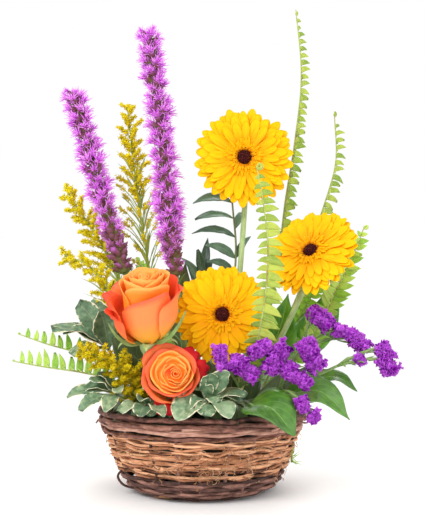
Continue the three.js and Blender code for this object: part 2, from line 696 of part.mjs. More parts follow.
// The holder comes first, then stems and flowers, then leaves: each is cut clear of those before it.
const pieces = [
  ["basket_wall", wovenBasket(), BARK],
  ["basket_border", border(), DARK_BARK],
  ["liner", liner(), LINER_PLASTIC],

  ...gerbera("gerbera_top", at(44, -15, 350), at(0, -1, 0.05), 0.1,
    path([18, 4, 40], [27, 4, 96], [40, 7, 230], [46, 10, 320])),
  ...gerbera("gerbera_low", at(21, -52, 192), at(0, -1, 0.12), 0.25,
    path([10, -18, 40], [14, -24, 96], [20, -28, 165])),
  ...gerbera("gerbera_right", at(113, -35, 255), at(-0.4, -0.62, 0.68), 0.4,
    path([34, -8, 40], [50, -12, 96], [88, -22, 175], [112, -22, 226])),
  ...rose("rose_upright", at(-53, -76, 164), at(-0.1, -0.16, 1), 0.5,
    path([-30, -38, 40], [-40, -52, 96], [-48, -66, 136]), 74, [-0.5, 2.7, 1.1]),
  ...rose("rose_front", at(-31, -66, 124), at(0.02, -0.93, 0.38), 0.2,
    path([-16, -34, 40], [-22, -42, 96]), 42, [0.4, 2.2, 4.2]),
  ...liatris("liatris_right", path([-8, -2, 40], [-12, -3, 96], [-20, -4, 160], [-27, -5, 226]),
    path([-27, -5, 226], [-33, 0, 274], [-38, 3, 326], [-43, 5, 379], [-50, 5, 436], [-56, 5, 486])),
  ...liatris("liatris_left", path([-28, 2, 40], [-41, 1, 96], [-60, 0, 160], [-81, 0, 229]),
    path([-81, 0, 229], [-95, 4, 274], [-110, 8, 326], [-124, 10, 379], [-136, 10, 421])),

  goldenrod("goldenrod_back",
    path([-22, 18, 40], [-30, 22, 96], [-52, 28, 199], [-60, 32, 250], [-69, 34, 305], [-75, 34, 358], [-80, 34, 404]),
    { rounds: 6, bare: 0.52, reach: 30, leaves: [[0.36, 2.6], [0.44, 4.2]] }),
  goldenrod("goldenrod_left",
    path([-38, 20, 40], [-52, 24, 96], [-86, 24, 210], [-108, 24, 258], [-128, 22, 290], [-144, 20, 314]),
    { rounds: 4, bare: 0.66, reach: 26, leaves: [[0.58, 3.1]] }),
  goldenrod("goldenrod_low_left",
    path([-40, -6, 40], [-56, -8, 96], [-84, -12, 170], [-105, -12, 222], [-124, -10, 240], [-144, -8, 247]),
    { rounds: 3, bare: 0.7, reach: 24, leaves: [[0.55, 2.6]] }),
  goldenrod("goldenrod_front",
    path([-50, -32, 45], [-62, -42, 92], [-76, -64, 126], [-96, -84, 144], [-116, -90, 152]),
    { rounds: 4, bare: 0.5, reach: 26, leaves: [] }),

  statice("statice_right", path([40, -22, 45], [60, -34, 96], [98, -50, 118], [134, -56, 128]), [
    { from: [160, -60, 143], to: [190, -60, 151], radius: 9 },
    { from: [172, -62, 125], to: [192, -62, 134], radius: 9 },
  ]),
  statice("statice_upper", path([44, -8, 45], [58, -16, 96], [84, -30, 134], [104, -40, 156]), [
    { from: [112, -45, 193], to: [126, -46, 180], radius: 8 },
    { from: [140, -50, 170], to: [164, -50, 163], radius: 9 },
  ]),
  statice("statice_low", path([36, -40, 45], [52, -56, 92], [78, -72, 116]), [
    { from: [100, -86, 166], to: [113, -90, 144], radius: 10, lift: 2 },
    { from: [86, -90, 128], to: [108, -94, 124], radius: 9 },
    { from: [97, -104, 107], to: [113, -106, 93], radius: 7, lift: 2 },
  ]),
  statice("statice_middle", path([18, -46, 45], [25, -62, 92], [38, -82, 120]), [
    { from: [66, -92, 143], to: [80, -84, 162], radius: 10, lift: 2 },
    { from: [54, -98, 132], to: [32, -98, 152], radius: 10, lift: 2 },
    { from: [24, -100, 138], to: [15, -98, 158], radius: 7, lift: 0 },
  ]),

  fern("fern_tall",
    path([24, 20, 40], [34, 22, 96], [70, 24, 199], [82, 26, 250], [89, 25, 305], [99, 24, 370], [105, 20, 437],
      [99, 20, 498]),
    at(1, -0.4, 0), { pairs: 28, bare: 0.36, leaflet: 13, fold: 0.8 }),
  fern("fern_middle",
    path([38, 10, 40], [52, 12, 96], [102, 16, 205], [123, 16, 279], [141, 15, 342], [140, 15, 394]),
    at(1, -0.4, -0.3), { pairs: 19, bare: 0.48, leaflet: 15, fold: 0.7 }),
  fern("fern_front",
    path([24, -30, 40], [36, -54, 96], [58, -80, 178], [66, -86, 247], [62, -83, 300], [55, -80, 341]),
    at(0.15, -1, 0.1), { pairs: 15, bare: 0.36, leaflet: 19, lanceolate: true }),
  fern("fern_right", path([52, 2, 40], [74, 3, 98], [108, 0, 149], [138, 0, 204], [160, 2, 250], [171, 2, 278]),
    at(-0.2, -1, 0.1), { pairs: 14, bare: 0.42, leaflet: 17 }),
  fern("fern_inner", path([46, 20, 40], [62, 23, 96], [98, 26, 168], [122, 28, 210], [138, 30, 238]),
    at(0, -1, 0.1), { pairs: 10, bare: 0.5, leaflet: 16 }),
  fern("fern_left_upper",
    path([-56, -22, 60], [-76, -28, 98], [-98, -36, 129], [-122, -40, 147], [-160, -42, 159], [-188, -42, 169]),
    at(0, -0.3, 1), { pairs: 12, bare: 0.42, leaflet: 13, fold: 0.5 }),
  fern("fern_left_lower",
    path([-46, -28, 55], [-68, -38, 92], [-94, -52, 122], [-120, -57, 131], [-160, -57, 137], [-192, -57, 143]),
    at(0, -0.3, 1), { pairs: 15, bare: 0.42, leaflet: 16, fold: 0.9 }),
  fern("fern_back", path([-8, 34, 40], [-14, 48, 96], [-34, 76, 150], [-56, 92, 200], [-72, 98, 240]),
    at(0.4, 0.9, 0.3), { pairs: 12, bare: 0.42, leaflet: 18 }),

  ruscus("ruscus_right",
    path([6, 20, 40], [12, 23, 96], [31, 25, 200], [36, 25, 250], [33, 25, 292], [30, 25, 322]),
    [[0.66, 4, 14, 243], [0.66, 24, 48, 236], [0.72, 52, 30, 268, 7], [0.72, 2, 16, 262], [0.8, -11, 14, 275],
      [0.83, 48, 44, 294], [0.87, -12, 24, 290], [0.93, -10, 14, 308, 6.5], [0.97, 18, 44, 332], [0.5, 44, 46, 212]]),
  ruscus("ruscus_left", path([-6, 20, 40], [-4, 23, 96], [-2, 26, 170], [1, 26, 226]),
    [[0.92, -23, 16, 252], [0.97, -6, 14, 258], [0.97, 6, 40, 268], [0.88, 12, 44, 250], [0.83, -18, 46, 240]]),

  whorl("pittosporum_left", path([-38, -10, 60], [-60, -18, 104], [-96, -34, 151]),
    [[-158, -48, 180, 11], [-134, -30, 206, 9], [-112, -14, 210, 9], [-104, -54, 199, 12], [-134, -66, 148, 8]]),
  whorl("pittosporum_low_left", path([-48, -46, 55], [-64, -58, 92], [-84, -68, 109]),
    [[-138, -78, 106, 9], [-122, -100, 96, 8], [-112, -84, 128, 10], [-94, -114, 100, 8]]),
  whorl("pittosporum_rim", path([-34, -52, 60], [-44, -72, 94], [-54, -86, 100]),
    [[-82, -110, 98, 7], [-60, -122, 97, 8], [-37, -119, 96, 7]]),
  whorl("pittosporum_front", path([2, -46, 55], [4, -72, 94], [6, -88, 106]),
    [[-24, -119, 98, 11], [4, -125, 97, 8], [28, -121, 98, 9], [9, -112, 138, 8], [28, -108, 138, 8],
      [46, -106, 112, 9]]),
  whorl("pittosporum_back", path([-26, 44, 55], [-34, 62, 96], [-44, 76, 112]),
    [[-92, 104, 112, 10], [-60, 122, 104, 10], [-20, 112, 116, 10], [-84, 70, 140, 10], [-46, 92, 156, 10]]),

  salal("salal_front", at(38, -62, 70), at(53, -88, 104), at(78, -108, 108), at(99, -122, 84), 21, at(0.25, -0.6, 0.8), 2),
  salal("salal_right", at(56, -44, 70), at(86, -66, 110), at(120, -74, 114), at(149, -78, 86), 15, at(0.1, -0.7, 0.75), 2),
  salal("salal_right_small", at(62, -16, 70), at(96, -30, 112), at(136, -38, 124), at(162, -42, 108), 11,
    at(0.1, -0.5, 0.85)),
  salal("salal_middle", at(52, -4, 80), at(64, -4, 128), at(82, -8, 172), at(90, -14, 208), 19, at(-0.1, -1, 0.15), 2),
  salal("salal_right_tall", at(64, 12, 75), at(98, 14, 140), at(130, 14, 182), at(141, 12, 224), 17, at(-0.2, -1, 0.2)),
  salal("salal_left", at(-46, -22, 75), at(-63, -31, 130), at(-72, -33, 165), at(-79, -34, 197), 14, at(0.1, -1, 0.2)),
  salal("salal_tall_back", at(-14, 30, 70), at(-16, 34, 140), at(-20, 34, 196), at(-18, 32, 240), 14, at(0, -1, 0.2)),
  salal("salal_back_left", at(-46, 32, 70), at(-62, 54, 100), at(-88, 72, 110), at(-118, 84, 92), 19, at(-0.2, 0.2, 1)),
  salal("salal_back", at(10, 50, 70), at(12, 74, 100), at(14, 102, 110), at(12, 132, 92), 20, at(0, 0.3, 1)),
  salal("salal_back_right", at(44, 40, 70), at(64, 56, 100), at(90, 74, 112), at(116, 92, 92), 19, at(0.2, 0.2, 1)),
];

// Cuts each piece clear of those before it, and then bores the foam for every stem.
function cleared(list) {
  const done = [];
  for (const [name, solid, material] of list) {
    const near = done.filter((other) => boxesMeet(solid, other.solid));
    const crossing = near.filter((other) => solid.intersect(other.solid).volume() > 0);
    const cut = crossing.reduce((rest, other) => rest.subtract(swollen(other.solid)), solid);
    done.push({ name, solid: largest(cut), material });
  }
  return done;
}

const arrangement = cleared(pieces);
const foam = foamBlock().subtract(join(holes));
arrangement.push({ name: "foam", solid: foam, material: FOAM_GREEN });

const basketArrangement = new THREE.Group();
for (const { name, solid, material } of arrangement) {
  const mesh = new THREE.Mesh(geometryOf(solid), material);
  mesh.name = name;
  basketArrangement.add(mesh);
}

export default basketArrangement;
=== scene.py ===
import itertools
import math
import random

import bmesh
import bpy
import numpy as np
from mathutils import Matrix, Vector, noise


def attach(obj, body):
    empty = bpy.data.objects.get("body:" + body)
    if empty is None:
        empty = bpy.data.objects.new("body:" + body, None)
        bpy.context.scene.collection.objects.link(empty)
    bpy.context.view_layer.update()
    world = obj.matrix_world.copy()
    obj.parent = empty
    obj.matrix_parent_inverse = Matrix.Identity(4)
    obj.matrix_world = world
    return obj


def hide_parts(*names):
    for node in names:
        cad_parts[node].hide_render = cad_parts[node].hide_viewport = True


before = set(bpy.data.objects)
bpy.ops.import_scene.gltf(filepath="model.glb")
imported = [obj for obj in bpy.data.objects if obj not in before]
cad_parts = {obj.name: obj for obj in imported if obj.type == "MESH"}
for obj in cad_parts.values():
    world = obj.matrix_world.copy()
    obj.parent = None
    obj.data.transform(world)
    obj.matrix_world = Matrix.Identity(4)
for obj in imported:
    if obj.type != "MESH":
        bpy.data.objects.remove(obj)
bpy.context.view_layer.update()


# The basket's wall and base. A base of rings on spokes carries the uprights, and split vine twigs
# with their bark on are woven in front of one and behind the next, round after round. The twigs are
# as they were cut, so they differ in thickness and colour and lie a little askew.
MM = 0.001
SAME_POINT = 1e-7


def smooth_line(points, steps=12):
    """Points on a smooth curve through the given ones, which are in millimetres."""
    knots = [Vector(p) * MM for p in points]
    knots = [2 * knots[0] - knots[1], *knots, 2 * knots[-1] - knots[-2]]
    line = []
    for a, b, c, d in zip(knots, knots[1:], knots[2:], knots[3:]):
        for i in range(steps):
            t = i / steps
            line.append(0.5 * (2 * b + (c - a) * t + (2 * a - 5 * b + 4 * c - d) * t * t
                + (3 * b - a - 3 * c + d) * t ** 3))
    return line + [knots[-2]]


def station(line, share):
    """The point and the direction at a share of a line's length."""
    sizes = [(b - a).length for a, b in zip(line, line[1:])]
    left = max(share, 0) * sum(sizes)
    for a, b, size in zip(line, line[1:], sizes):
        if left <= size:
            break
        left -= size
    return a.lerp(b, min(left / size, 1)), (b - a).normalized()


def sheet(across, along, place):
    """A grid whose corners are put at place(u, v), with the map that its finish reads."""
    bm = bmesh.new()
    bm.loops.layers.uv.new("UVMap")
    bmesh.ops.create_grid(bm, x_segments=across, y_segments=along, size=0.5, calc_uvs=True)
    for v in bm.verts:
        v.co = place(v.co.x + 0.5, v.co.y + 0.5)
    return bm


def polar(r, angle, z):
    """The point at a distance from the upright axis, an angle round it and a height."""
    return Vector((r * math.cos(angle), r * math.sin(angle), z))


def any_angle(rng):
    """A drawn angle, from all round."""
    return rng.uniform(0, 6.28)


def rod(line, radius, sides=7):
    """A round twig or stem along a line, closed at its ends.

    Its radius is a function of the share of its length.
    """
    side = Vector((0.3, 0.2, 1)).cross(line[1] - line[0])
    rings, last = [], len(line) - 1
    for i, point in enumerate(line):
        way = (line[min(i + 1, last)] - line[max(i - 1, 0)]).normalized()
        side = (side - side.dot(way) * way).normalized()
        rings.append((point, side.copy(), way.cross(side)))

    def place(u, v):
        point, a, b = rings[round(v * last)]
        turn = 2 * math.pi * u
        return point + (a * math.cos(turn) + b * math.sin(turn)) * radius(v)

    bm = sheet(sides, last, place)
    bmesh.ops.remove_doubles(bm, verts=bm.verts, dist=SAME_POINT)
    bmesh.ops.holes_fill(bm, edges=bm.edges, sides=0)
    return bm


draws = itertools.count(1)


def add(whole, part, place=None):
    """Joins a part to a piece.

    Each part's map is moved by a whole number, so that a finish can tell it from its neighbours.
    """
    if isinstance(part, bpy.types.Mesh):
        mesh = part.copy()
    else:
        mesh = bpy.data.meshes.new("part")
        part.to_mesh(mesh)
        part.free()
    if place is not None:
        mesh.transform(place)
    if mesh.uv_layers:
        layer = mesh.uv_layers[0].uv
        spots = np.empty(len(mesh.loops) * 2, np.float32)
        layer.foreach_get("vector", spots)
        spots[0::2] = 0.01 + 0.98 * spots[0::2] + next(draws)
        layer.foreach_set("vector", spots)
    whole.from_mesh(mesh)
    bpy.data.meshes.remove(mesh)


def template(part):
    """A small mesh that a piece repeats."""
    mesh = bpy.data.meshes.new("template")
    part.to_mesh(mesh)
    part.free()
    return mesh


def new_piece():
    """An empty piece, with the map that its finish reads."""
    bm = bmesh.new()
    bm.loops.layers.uv.new("UVMap")
    return bm


def finish_piece(whole, name, finish, slot, *nodes, thick=0):
    """The object of a piece, riding on the arrangement, in place of its CAD nodes.

    A piece made of sheets gets its thickness here.
    """
    mesh = bpy.data.meshes.new(name)
    whole.to_mesh(mesh)
    whole.free()
    mesh.shade_smooth()
    mesh.materials.append(finish)
    piece = bpy.data.objects.new(name, mesh)
    bpy.context.scene.collection.objects.link(piece)
    if thick:
        wall = piece.modifiers.new("thickness", "SOLIDIFY")
        wall.thickness = thick
        wall.offset = 0
    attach(piece, "root")
    if nodes:
        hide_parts(*nodes)


def linear(code):
    """A colour's sRGB hex value as the linear numbers that a shader takes."""
    parts = [int(code[i:i + 2], 16) / 255 for i in (1, 3, 5)]
    return [*(p / 12.92 if p <= 0.04045 else ((p + 0.055) / 1.055) ** 2.4 for p in parts), 1.0]


def wire(tree, kind, inputs=None, out=0, stops=None, **settings):
    """Adds one node with its settings, its inputs set or linked, and gives the output that is read next."""
    made = tree.nodes.new("ShaderNode" + kind)
    for key, value in settings.items():
        setattr(made, key, value)
    if stops:
        ramp = made.color_ramp
        for spot, colour in stops[1:-1]:
            ramp.elements.new(spot).color = linear(colour)
        for end, (spot, colour) in ((0, stops[0]), (-1, stops[-1])):
            ramp.elements[end].position = spot
            ramp.elements[end].color = linear(colour)
    for key, value in (inputs or {}).items():
        if isinstance(value, bpy.types.NodeSocket):
            tree.links.new(value, made.inputs[key])
        else:
            made.inputs[key].default_value = value
    return made.outputs[out]


def new_finish(name, **sockets):
    """A material with the shader values that are the same all over it, its node tree and its shader."""
    finish = bpy.data.materials.new(name)
    finish.use_nodes = True
    shader = finish.node_tree.nodes["Principled BSDF"]
    for key, value in sockets.items():
        shader.inputs[key.replace("_", " ")].default_value = value
    return finish, finish.node_tree, shader


def part_map(tree):
    """Across and along one leaf, petal or twig, each from 0 to 1, and a number drawn for it."""
    spot = wire(tree, "TexCoord", out="UV")
    across = wire(tree, "SeparateXYZ", {0: spot}, out=0)
    along = wire(tree, "SeparateXYZ", {0: spot}, out=1)
    drawn = wire(tree, "TexWhiteNoise", {"W": wire(tree, "Math", {0: across}, operation="FLOOR")},
        out="Value", noise_dimensions="1D")
    return wire(tree, "Math", {0: across}, operation="FRACT"), along, drawn


def vine_bark(name, low, middle, high):
    """Split vine with its bark on, dried and matt.

    Streaks run along each twig, pale where the bark has come off, and patches of 18 mm vary them. The
    scale of a pattern on Object coordinates, here and below, is in cells to the metre.
    """
    finish, tree, shader = new_finish(name, Roughness=0.82)
    u, v, drawn = part_map(tree)
    spot = wire(tree, "CombineXYZ", {0: wire(tree, "Math", {0: u, 1: 3.0}, operation="MULTIPLY"),
        1: wire(tree, "Math", {0: v, 1: 46.0}, operation="MULTIPLY"),
        2: wire(tree, "Math", {0: drawn, 1: 40.0}, operation="MULTIPLY")})
    streaks = wire(tree, "TexNoise", {"Vector": spot, "Scale": 1.6, "Detail": 5.0, "Roughness": 0.65})
    patches = wire(tree, "TexNoise",
        {"Vector": wire(tree, "TexCoord", out="Object"), "Scale": 55.0, "Detail": 3.0})
    tone = wire(tree, "Math", {0: wire(tree, "Math", {0: streaks, 1: 0.62}, operation="MULTIPLY"),
        1: wire(tree, "Math", {0: drawn, 1: 0.42}, operation="MULTIPLY")}, operation="ADD")
    tone = wire(tree, "Math", {0: tone, 1: wire(tree, "Math", {0: patches, 1: 0.4}, operation="MULTIPLY")},
        operation="ADD")
    colour = wire(tree, "ValToRGB", {0: tone}, stops=[(0.46, low), (0.68, middle), (0.92, high)])
    tree.links.new(colour, shader.inputs["Base Color"])
    tree.links.new(wire(tree, "Bump", {"Height": streaks, "Strength": 0.9, "Distance": 0.001}),
        shader.inputs["Normal"])
    return finish


WALL = smooth_line([(60, 0, 0), (79, 0, 9), (88, 0, 24), (98, 0, 50), (110, 0, 86)])
UPRIGHTS = 22
# A woven twig has about four points between two uprights.
POINTS_PER_RADIAN = 14.0056


def wall_radius(height):
    """The wall's outer radius at a height in metres."""
    for a, b in zip(WALL, WALL[1:]):
        if height <= b.z:
            break
    return a.x + (b.x - a.x) * max(0, min((height - a.z) / (b.z - a.z), 1))


def woven_twig(height, thick, phase, swing, wander, rng, turn=2 * math.pi, out=0.0):
    """One twig woven round the uprights: its height, its thickness and how far it swings in and out."""
    start, seed, count = rng.uniform(0, 2 * math.pi), rng.uniform(0, 99), int(POINTS_PER_RADIAN * turn)
    tilt, tilt_way = rng.uniform(-1, 1) * wander, any_angle(rng)
    line = []
    for i in range(count + 1):
        angle = start + turn * i / count
        z = height + tilt * math.sin(angle + tilt_way)
        z += wander * 1.3 * noise.noise((seed, 5 * math.cos(angle), 5 * math.sin(angle)))
        z = max(z + 0.006 * max(0, -math.sin(angle)) * (height / 0.08) ** 2, thick + 0.0002)
        r = wall_radius(z) - 0.0025 + out + swing * math.cos(UPRIGHTS / 2 * angle + phase)
        r += 0.0009 * noise.noise((3 * math.cos(angle), seed, 3 * math.sin(angle)))
        line.append(polar(r, angle, z))

    def radius(v):
        return thick * (1 + 0.22 * noise.noise((seed, v * 24, 0))) * (1 if 0.004 < v < 0.996 else 0.5)

    return rod(line, radius, sides=6)


cinnamon_bark = vine_bark("cinnamon_vine_bark", "#4a281c", "#c4835a", "#f0b88e")
dark_bark = vine_bark("dark_vine_bark", "#2a1814", "#6c483e", "#a87a6a")
plum_bark = vine_bark("plum_vine_bark", "#3a1f19", "#9b6757", "#d6a690")
straw_bark = vine_bark("peeled_vine", "#8a4f30", "#cc8e5e", "#eabf94")

rng = random.Random(11)
weave = new_piece()
for course in range(6):
    for pair in (0, 1, 2):
        height = 0.0262 + course * 0.0069 + pair * 0.0024
        add(weave, woven_twig(height, rng.uniform(0.0012, 0.0018), math.pi * course, 0.0031, 0.0019, rng,
            out=rng.uniform(-0.0004, 0.0006)))
for course in range(26):
    height = rng.uniform(0.024, 0.067)
    add(weave, woven_twig(height, rng.uniform(0.0009, 0.0014), math.pi * course, 0.0032, 0.005, rng,
        turn=rng.uniform(0.4, 1.2), out=0.001))
finish_piece(weave, "woven_wall", cinnamon_bark, "twig_bark", "basket_wall")

footing = new_piece()
for course in range(6):
    for pair in (-1, 1):
        height = 0.0027 + course * 0.0038 + pair * 0.0006
        add(footing, woven_twig(height, rng.uniform(0.0015, 0.0022), math.pi * course, 0.0024, 0.0013, rng,
            out=0.0005 * pair))
for i in range(UPRIGHTS):
    angle = 2 * math.pi * (i + 0.5) / UPRIGHTS + rng.uniform(-0.03, 0.03)
    upright = [(wall_radius(z) - 0.0034, angle + 0.2 * (z - 0.04), z)
        for z in [0.004 + 0.008 * k for k in range(10)]]
    add(footing, rod([polar(r, a, z) for r, a, z in upright], lambda v: 0.0019))
for i in range(12):
    size = 0.007 + 0.0044 * i
    ring = []
    for k in range(41):
        turn = 2 * math.pi * k / 40
        ring.append(polar(size, turn, 0.0035 + 0.0008 * math.cos(5 * turn + math.pi * i)))
    add(footing, rod(ring, lambda v: 0.0021, sides=6))
for i in range(8):
    way = polar(0.06, math.pi * i / 8, 0)
    add(footing, rod([way * k + Vector((0, 0, 0.0052)) for k in (-1, -0.5, 0, 0.5, 1)], lambda v: 0.002))
loop = smooth_line([(-74, -30, 25), (-82, -33, 26), (-87, -34, 20), (-83, -33, 12), (-76, -31, 8),
    (-68, -33, 7)])
add(footing, rod(loop, lambda v: 0.0013))
finish_piece(footing, "woven_base_and_uprights", dark_bark, "twig_bark", "basket_wall")

peeled = new_piece()
for height, thick, turn in ((0.003, 0.0012, 1.3), (0.0045, 0.001, 0.9), (0.012, 0.0009, 0.7),
        (0.005, 0.0012, 1.1), (0.041, 0.0011, 1.0), (0.05, 0.001, 0.8)):
    add(peeled, woven_twig(height, thick, 0, 0.002, 0.002, rng, turn=turn, out=0.0026))
finish_piece(peeled, "peeled_twigs", straw_bark, "twig_bark")


# The border and the loose bark. Thick dark rods are laid round the top of the uprights, over and
# under each other, and where the twigs were bent their bark has split and stands off in pale curls.
border = new_piece()
rods = (
    (0.0675, 0.0021, 0.0012), (0.0702, 0.0024, 0.0024), (0.0732, 0.002, 0.0004), (0.076, 0.0026, 0.0018),
    (0.079, 0.0021, 0.0024), (0.0825, 0.0026, 0.0002), (0.082, 0.0024, -0.0048), (0.0745, 0.0025, -0.0052))
for i, (height, thick, out) in enumerate(rods):
    add(border, woven_twig(height, thick, math.pi * i, 0.0013, 0.0024, rng, turn=6.25, out=out))
for i in range(16):
    height, angle = rng.uniform(0.067, 0.083), any_angle(rng)
    bit = []
    for k in range(9):
        turn = angle + 0.035 * k
        r = wall_radius(height) + 0.0015 + 0.0006 * k * (i % 3 == 0)
        bit.append(polar(r, turn, height + rng.uniform(-0.0004, 0.0004) + 0.0003 * (k - 4) * ((i % 5) - 2)))
    add(border, rod(bit, lambda v: 0.0016 * (1 - 0.5 * v)))
finish_piece(border, "border_rods", plum_bark, "dark_twig_bark", "basket_border")

fibres = new_piece()
for i in range(230):
    front = i < 170
    angle = rng.gauss(-1.45, 0.42) if front else any_angle(rng)
    height = max(0.014, min(rng.gauss(0.045, 0.01) if front else rng.uniform(0.012, 0.066), 0.068))
    length, lift = rng.uniform(0.004, 0.013), rng.uniform(0.0005, 0.0035)
    turn, drop = rng.uniform(-1, 1), rng.uniform(-1, 0.6)
    strand = []
    for k in range(7):
        t = k / 6
        a = angle + (length * turn * t + 0.0012 * math.sin(7 * t + i)) / 0.095
        z = height + length * drop * t + 0.001 * math.cos(6 * t + i)
        r = wall_radius(height) + 0.0012 + lift * math.sin(2.6 * t)
        strand.append(polar(r, a, z))
    add(fibres, rod(strand, lambda v: 0.00048 * (1 - 0.6 * v), sides=3))
finish_piece(fibres, "frayed_bark", straw_bark, "twig_bark")


# The liner and the foam. The liner is a thin dark film of moulded polyethylene, crinkled where the
# foam presses on it. The foam is open-celled phenolic foam, soaked, which breaks to a rough crumb
# round each stem. Both keep their CAD shape.
def dark_film():
    """Dark green polyethylene film: soft gloss with fine creases about 11 mm apart."""
    finish, tree, shader = new_finish("dark_polyethylene_film", Roughness=0.32, IOR=1.5)
    creases = wire(tree, "TexVoronoi", {"Vector": wire(tree, "TexCoord", out="Object"), "Scale": 90.0},
        feature="DISTANCE_TO_EDGE")
    colour = wire(tree, "ValToRGB", {0: creases}, stops=[(0.0, "#2a352c"), (0.4, "#141a16")])
    tree.links.new(colour, shader.inputs["Base Color"])
    tree.links.new(wire(tree, "Bump", {"Height": creases, "Strength": 0.5, "Distance": 0.001}),
        shader.inputs["Normal"])
    return finish


def shaded_soaked_foam():
    """Wet phenolic foam: a crumb of fine cells, drawn at 1.5 mm so that they show. Its near-black green is
    partly the soaked foam's own dark green and partly painted shade under the leaves and flowers.
    """
    finish, tree, shader = new_finish("soaked_phenolic_foam_painted_shade", Roughness=0.7)
    spot = wire(tree, "TexCoord", out="Object")
    cells = wire(tree, "TexVoronoi", {"Vector": spot, "Scale": 650.0})
    patches = wire(tree, "TexNoise", {"Vector": spot, "Scale": 60.0, "Detail": 4.0})
    tone = wire(tree, "Math", {0: cells, 1: patches}, operation="ADD")
    # Near-black greens: the wet foam's own dark green, deepened into painted shade under the leaves.
    colour = wire(tree, "ValToRGB", {0: tone}, stops=[(0.4, "#0e2014"), (0.8, "#1b3822"), (1.0, "#33553a")])
    tree.links.new(colour, shader.inputs["Base Color"])
    tree.links.new(wire(tree, "Bump", {"Height": cells, "Strength": 0.8, "Distance": 0.0008}),
        shader.inputs["Normal"])
    return finish


for node, finish in (("liner", dark_film()), ("foam", shaded_soaked_foam())):
    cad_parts[node].data.materials.clear()
    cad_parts[node].data.materials.append(finish)


# The gerberas. Each is one composite head on a thick leafless stem: a cup of green bracts, four rows
# of long strap rays with fine grooves, rings of short inner florets, and a dark velvety eye. Its
# florets follow the golden angle round the axis, as the leaves and heads of the other plants do.
GOLDEN_ANGLE = 2.39996


def seat(centre, facing, turn=0.0):
    """The place of a bloom that looks along facing, with its +X to the right, turned about its axis."""
    z = Vector(facing).normalized()
    x = (Vector((1, 0, 0)) - z.x * z).normalized()
    axes = Matrix((x, z.cross(x), z)).transposed().to_4x4()
    return Matrix.Translation(Vector(centre) * MM) @ axes @ Matrix.Rotation(turn, 4, "Z")


def spun(angle, tilt=0.0, size=1.0, lift=0.0):
    """The place of one ray or petal: turned about the bloom's axis, raised by tilt and scaled."""
    turned = Matrix.Rotation(angle, 4, "Z") @ Matrix.Rotation(tilt, 4, "X")
    return Matrix.Translation((0, 0, lift)) @ turned @ Matrix.Scale(size, 4)


def bract(u, v):
    """The green bract under a head lies along the cup and is narrow at its tip."""
    height = -0.012 + 0.0095 * v + 0.0005 * math.sin(3 * v)
    return Vector(((u - 0.5) * 0.0034 * (1 - v) ** 0.6, 0.0055 + 0.0035 * v, height))


def strap_ray(length, wide, droop, start=0.005, across=6, along=10):
    """A strap ray: narrow at its foot, round at its tip, grooved along, and bent down at its end."""
    def place(u, v):
        off, t = 2 * u - 1, math.sin(v * math.pi / 2) ** 0.9
        width = 0.45 + 0.55 * min(1, t / 0.6) ** 0.9
        if t > 0.72:
            width *= math.sqrt(max(0.05, 1 - ((t - 0.72) / 0.28) ** 1.7))
        y = start + (length - start) * t
        z = 0.0006 * off * off - 0.0003 * math.cos(3 * math.pi * off)
        z += 0.0015 * math.sin(math.pi * t) - droop * t ** 3
        return Vector((off * wide / 2 * width, y, z))

    return sheet(across, along, place)


def fresh_stem(name, dark, light):
    """A fresh cut stem: waxy green in patches of 14 mm, with fine ribs along it and a little sheen."""
    finish, tree, shader = new_finish(name, Roughness=0.48, Specular_IOR_Level=0.4)
    u, v, drawn = part_map(tree)
    spot = wire(tree, "CombineXYZ", {0: wire(tree, "Math", {0: u, 1: 14.0}, operation="MULTIPLY"),
        1: wire(tree, "Math", {0: v, 1: 9.0}, operation="MULTIPLY"), 2: drawn})
    ribs = wire(tree, "TexNoise", {"Vector": spot, "Scale": 2.2, "Detail": 3.0})
    patches = wire(tree, "TexNoise", {"Vector": wire(tree, "TexCoord", out="Object"), "Scale": 70.0})
    tone = wire(tree, "Math", {0: ribs, 1: patches}, operation="ADD")
    tree.links.new(wire(tree, "ValToRGB", {0: tone}, stops=[(0.72, dark), (1.0, light)]),
        shader.inputs["Base Color"])
    tree.links.new(wire(tree, "Bump", {"Height": ribs, "Strength": 0.3, "Distance": 0.0006}),
        shader.inputs["Normal"])
    return finish


def yellow_ray():
    """Gerbera ray: satin, golden at its tip and deep orange at its foot, with fine veins and grooves. The
    orange foot is partly the ray's own colour and partly painted shade under the inner florets.
    """
    finish, tree, shader = new_finish("gerbera_ray_petal", Roughness=0.6, Specular_IOR_Level=0.12)
    u, v, drawn = part_map(tree)
    veins = wire(tree, "Math", {0: wire(tree, "Math", {0: u, 1: 66.0}, operation="MULTIPLY")},
        operation="SINE")
    grooves = wire(tree, "Math", {0: wire(tree, "Math", {0: u, 1: 6 * math.pi}, operation="MULTIPLY")},
        operation="COSINE")
    tone = wire(tree, "Math", {0: v, 1: wire(tree, "Math", {0: drawn, 1: 0.16}, operation="MULTIPLY")},
        operation="ADD")
    tone = wire(tree, "Math", {0: tone, 1: wire(tree, "Math", {0: grooves, 1: 0.05}, operation="MULTIPLY")},
        operation="SUBTRACT")
    # The deep orange stops at the foot are partly the ray's own colour and partly painted shade under the
    # inner florets.
    colour = wire(tree, "ValToRGB", {0: tone},
        stops=[(0.06, "#ee8400"), (0.28, "#faa200"), (0.55, "#ffb800"), (1.0, "#ffc800")])
    tree.links.new(colour, shader.inputs["Base Color"])
    height = wire(tree, "Math", {0: wire(tree, "Math", {0: veins, 1: 0.3}, operation="MULTIPLY"),
        1: grooves}, operation="ADD")
    tree.links.new(wire(tree, "Bump", {"Height": height, "Strength": 0.25, "Distance": 0.0004}),
        shader.inputs["Normal"])
    return finish


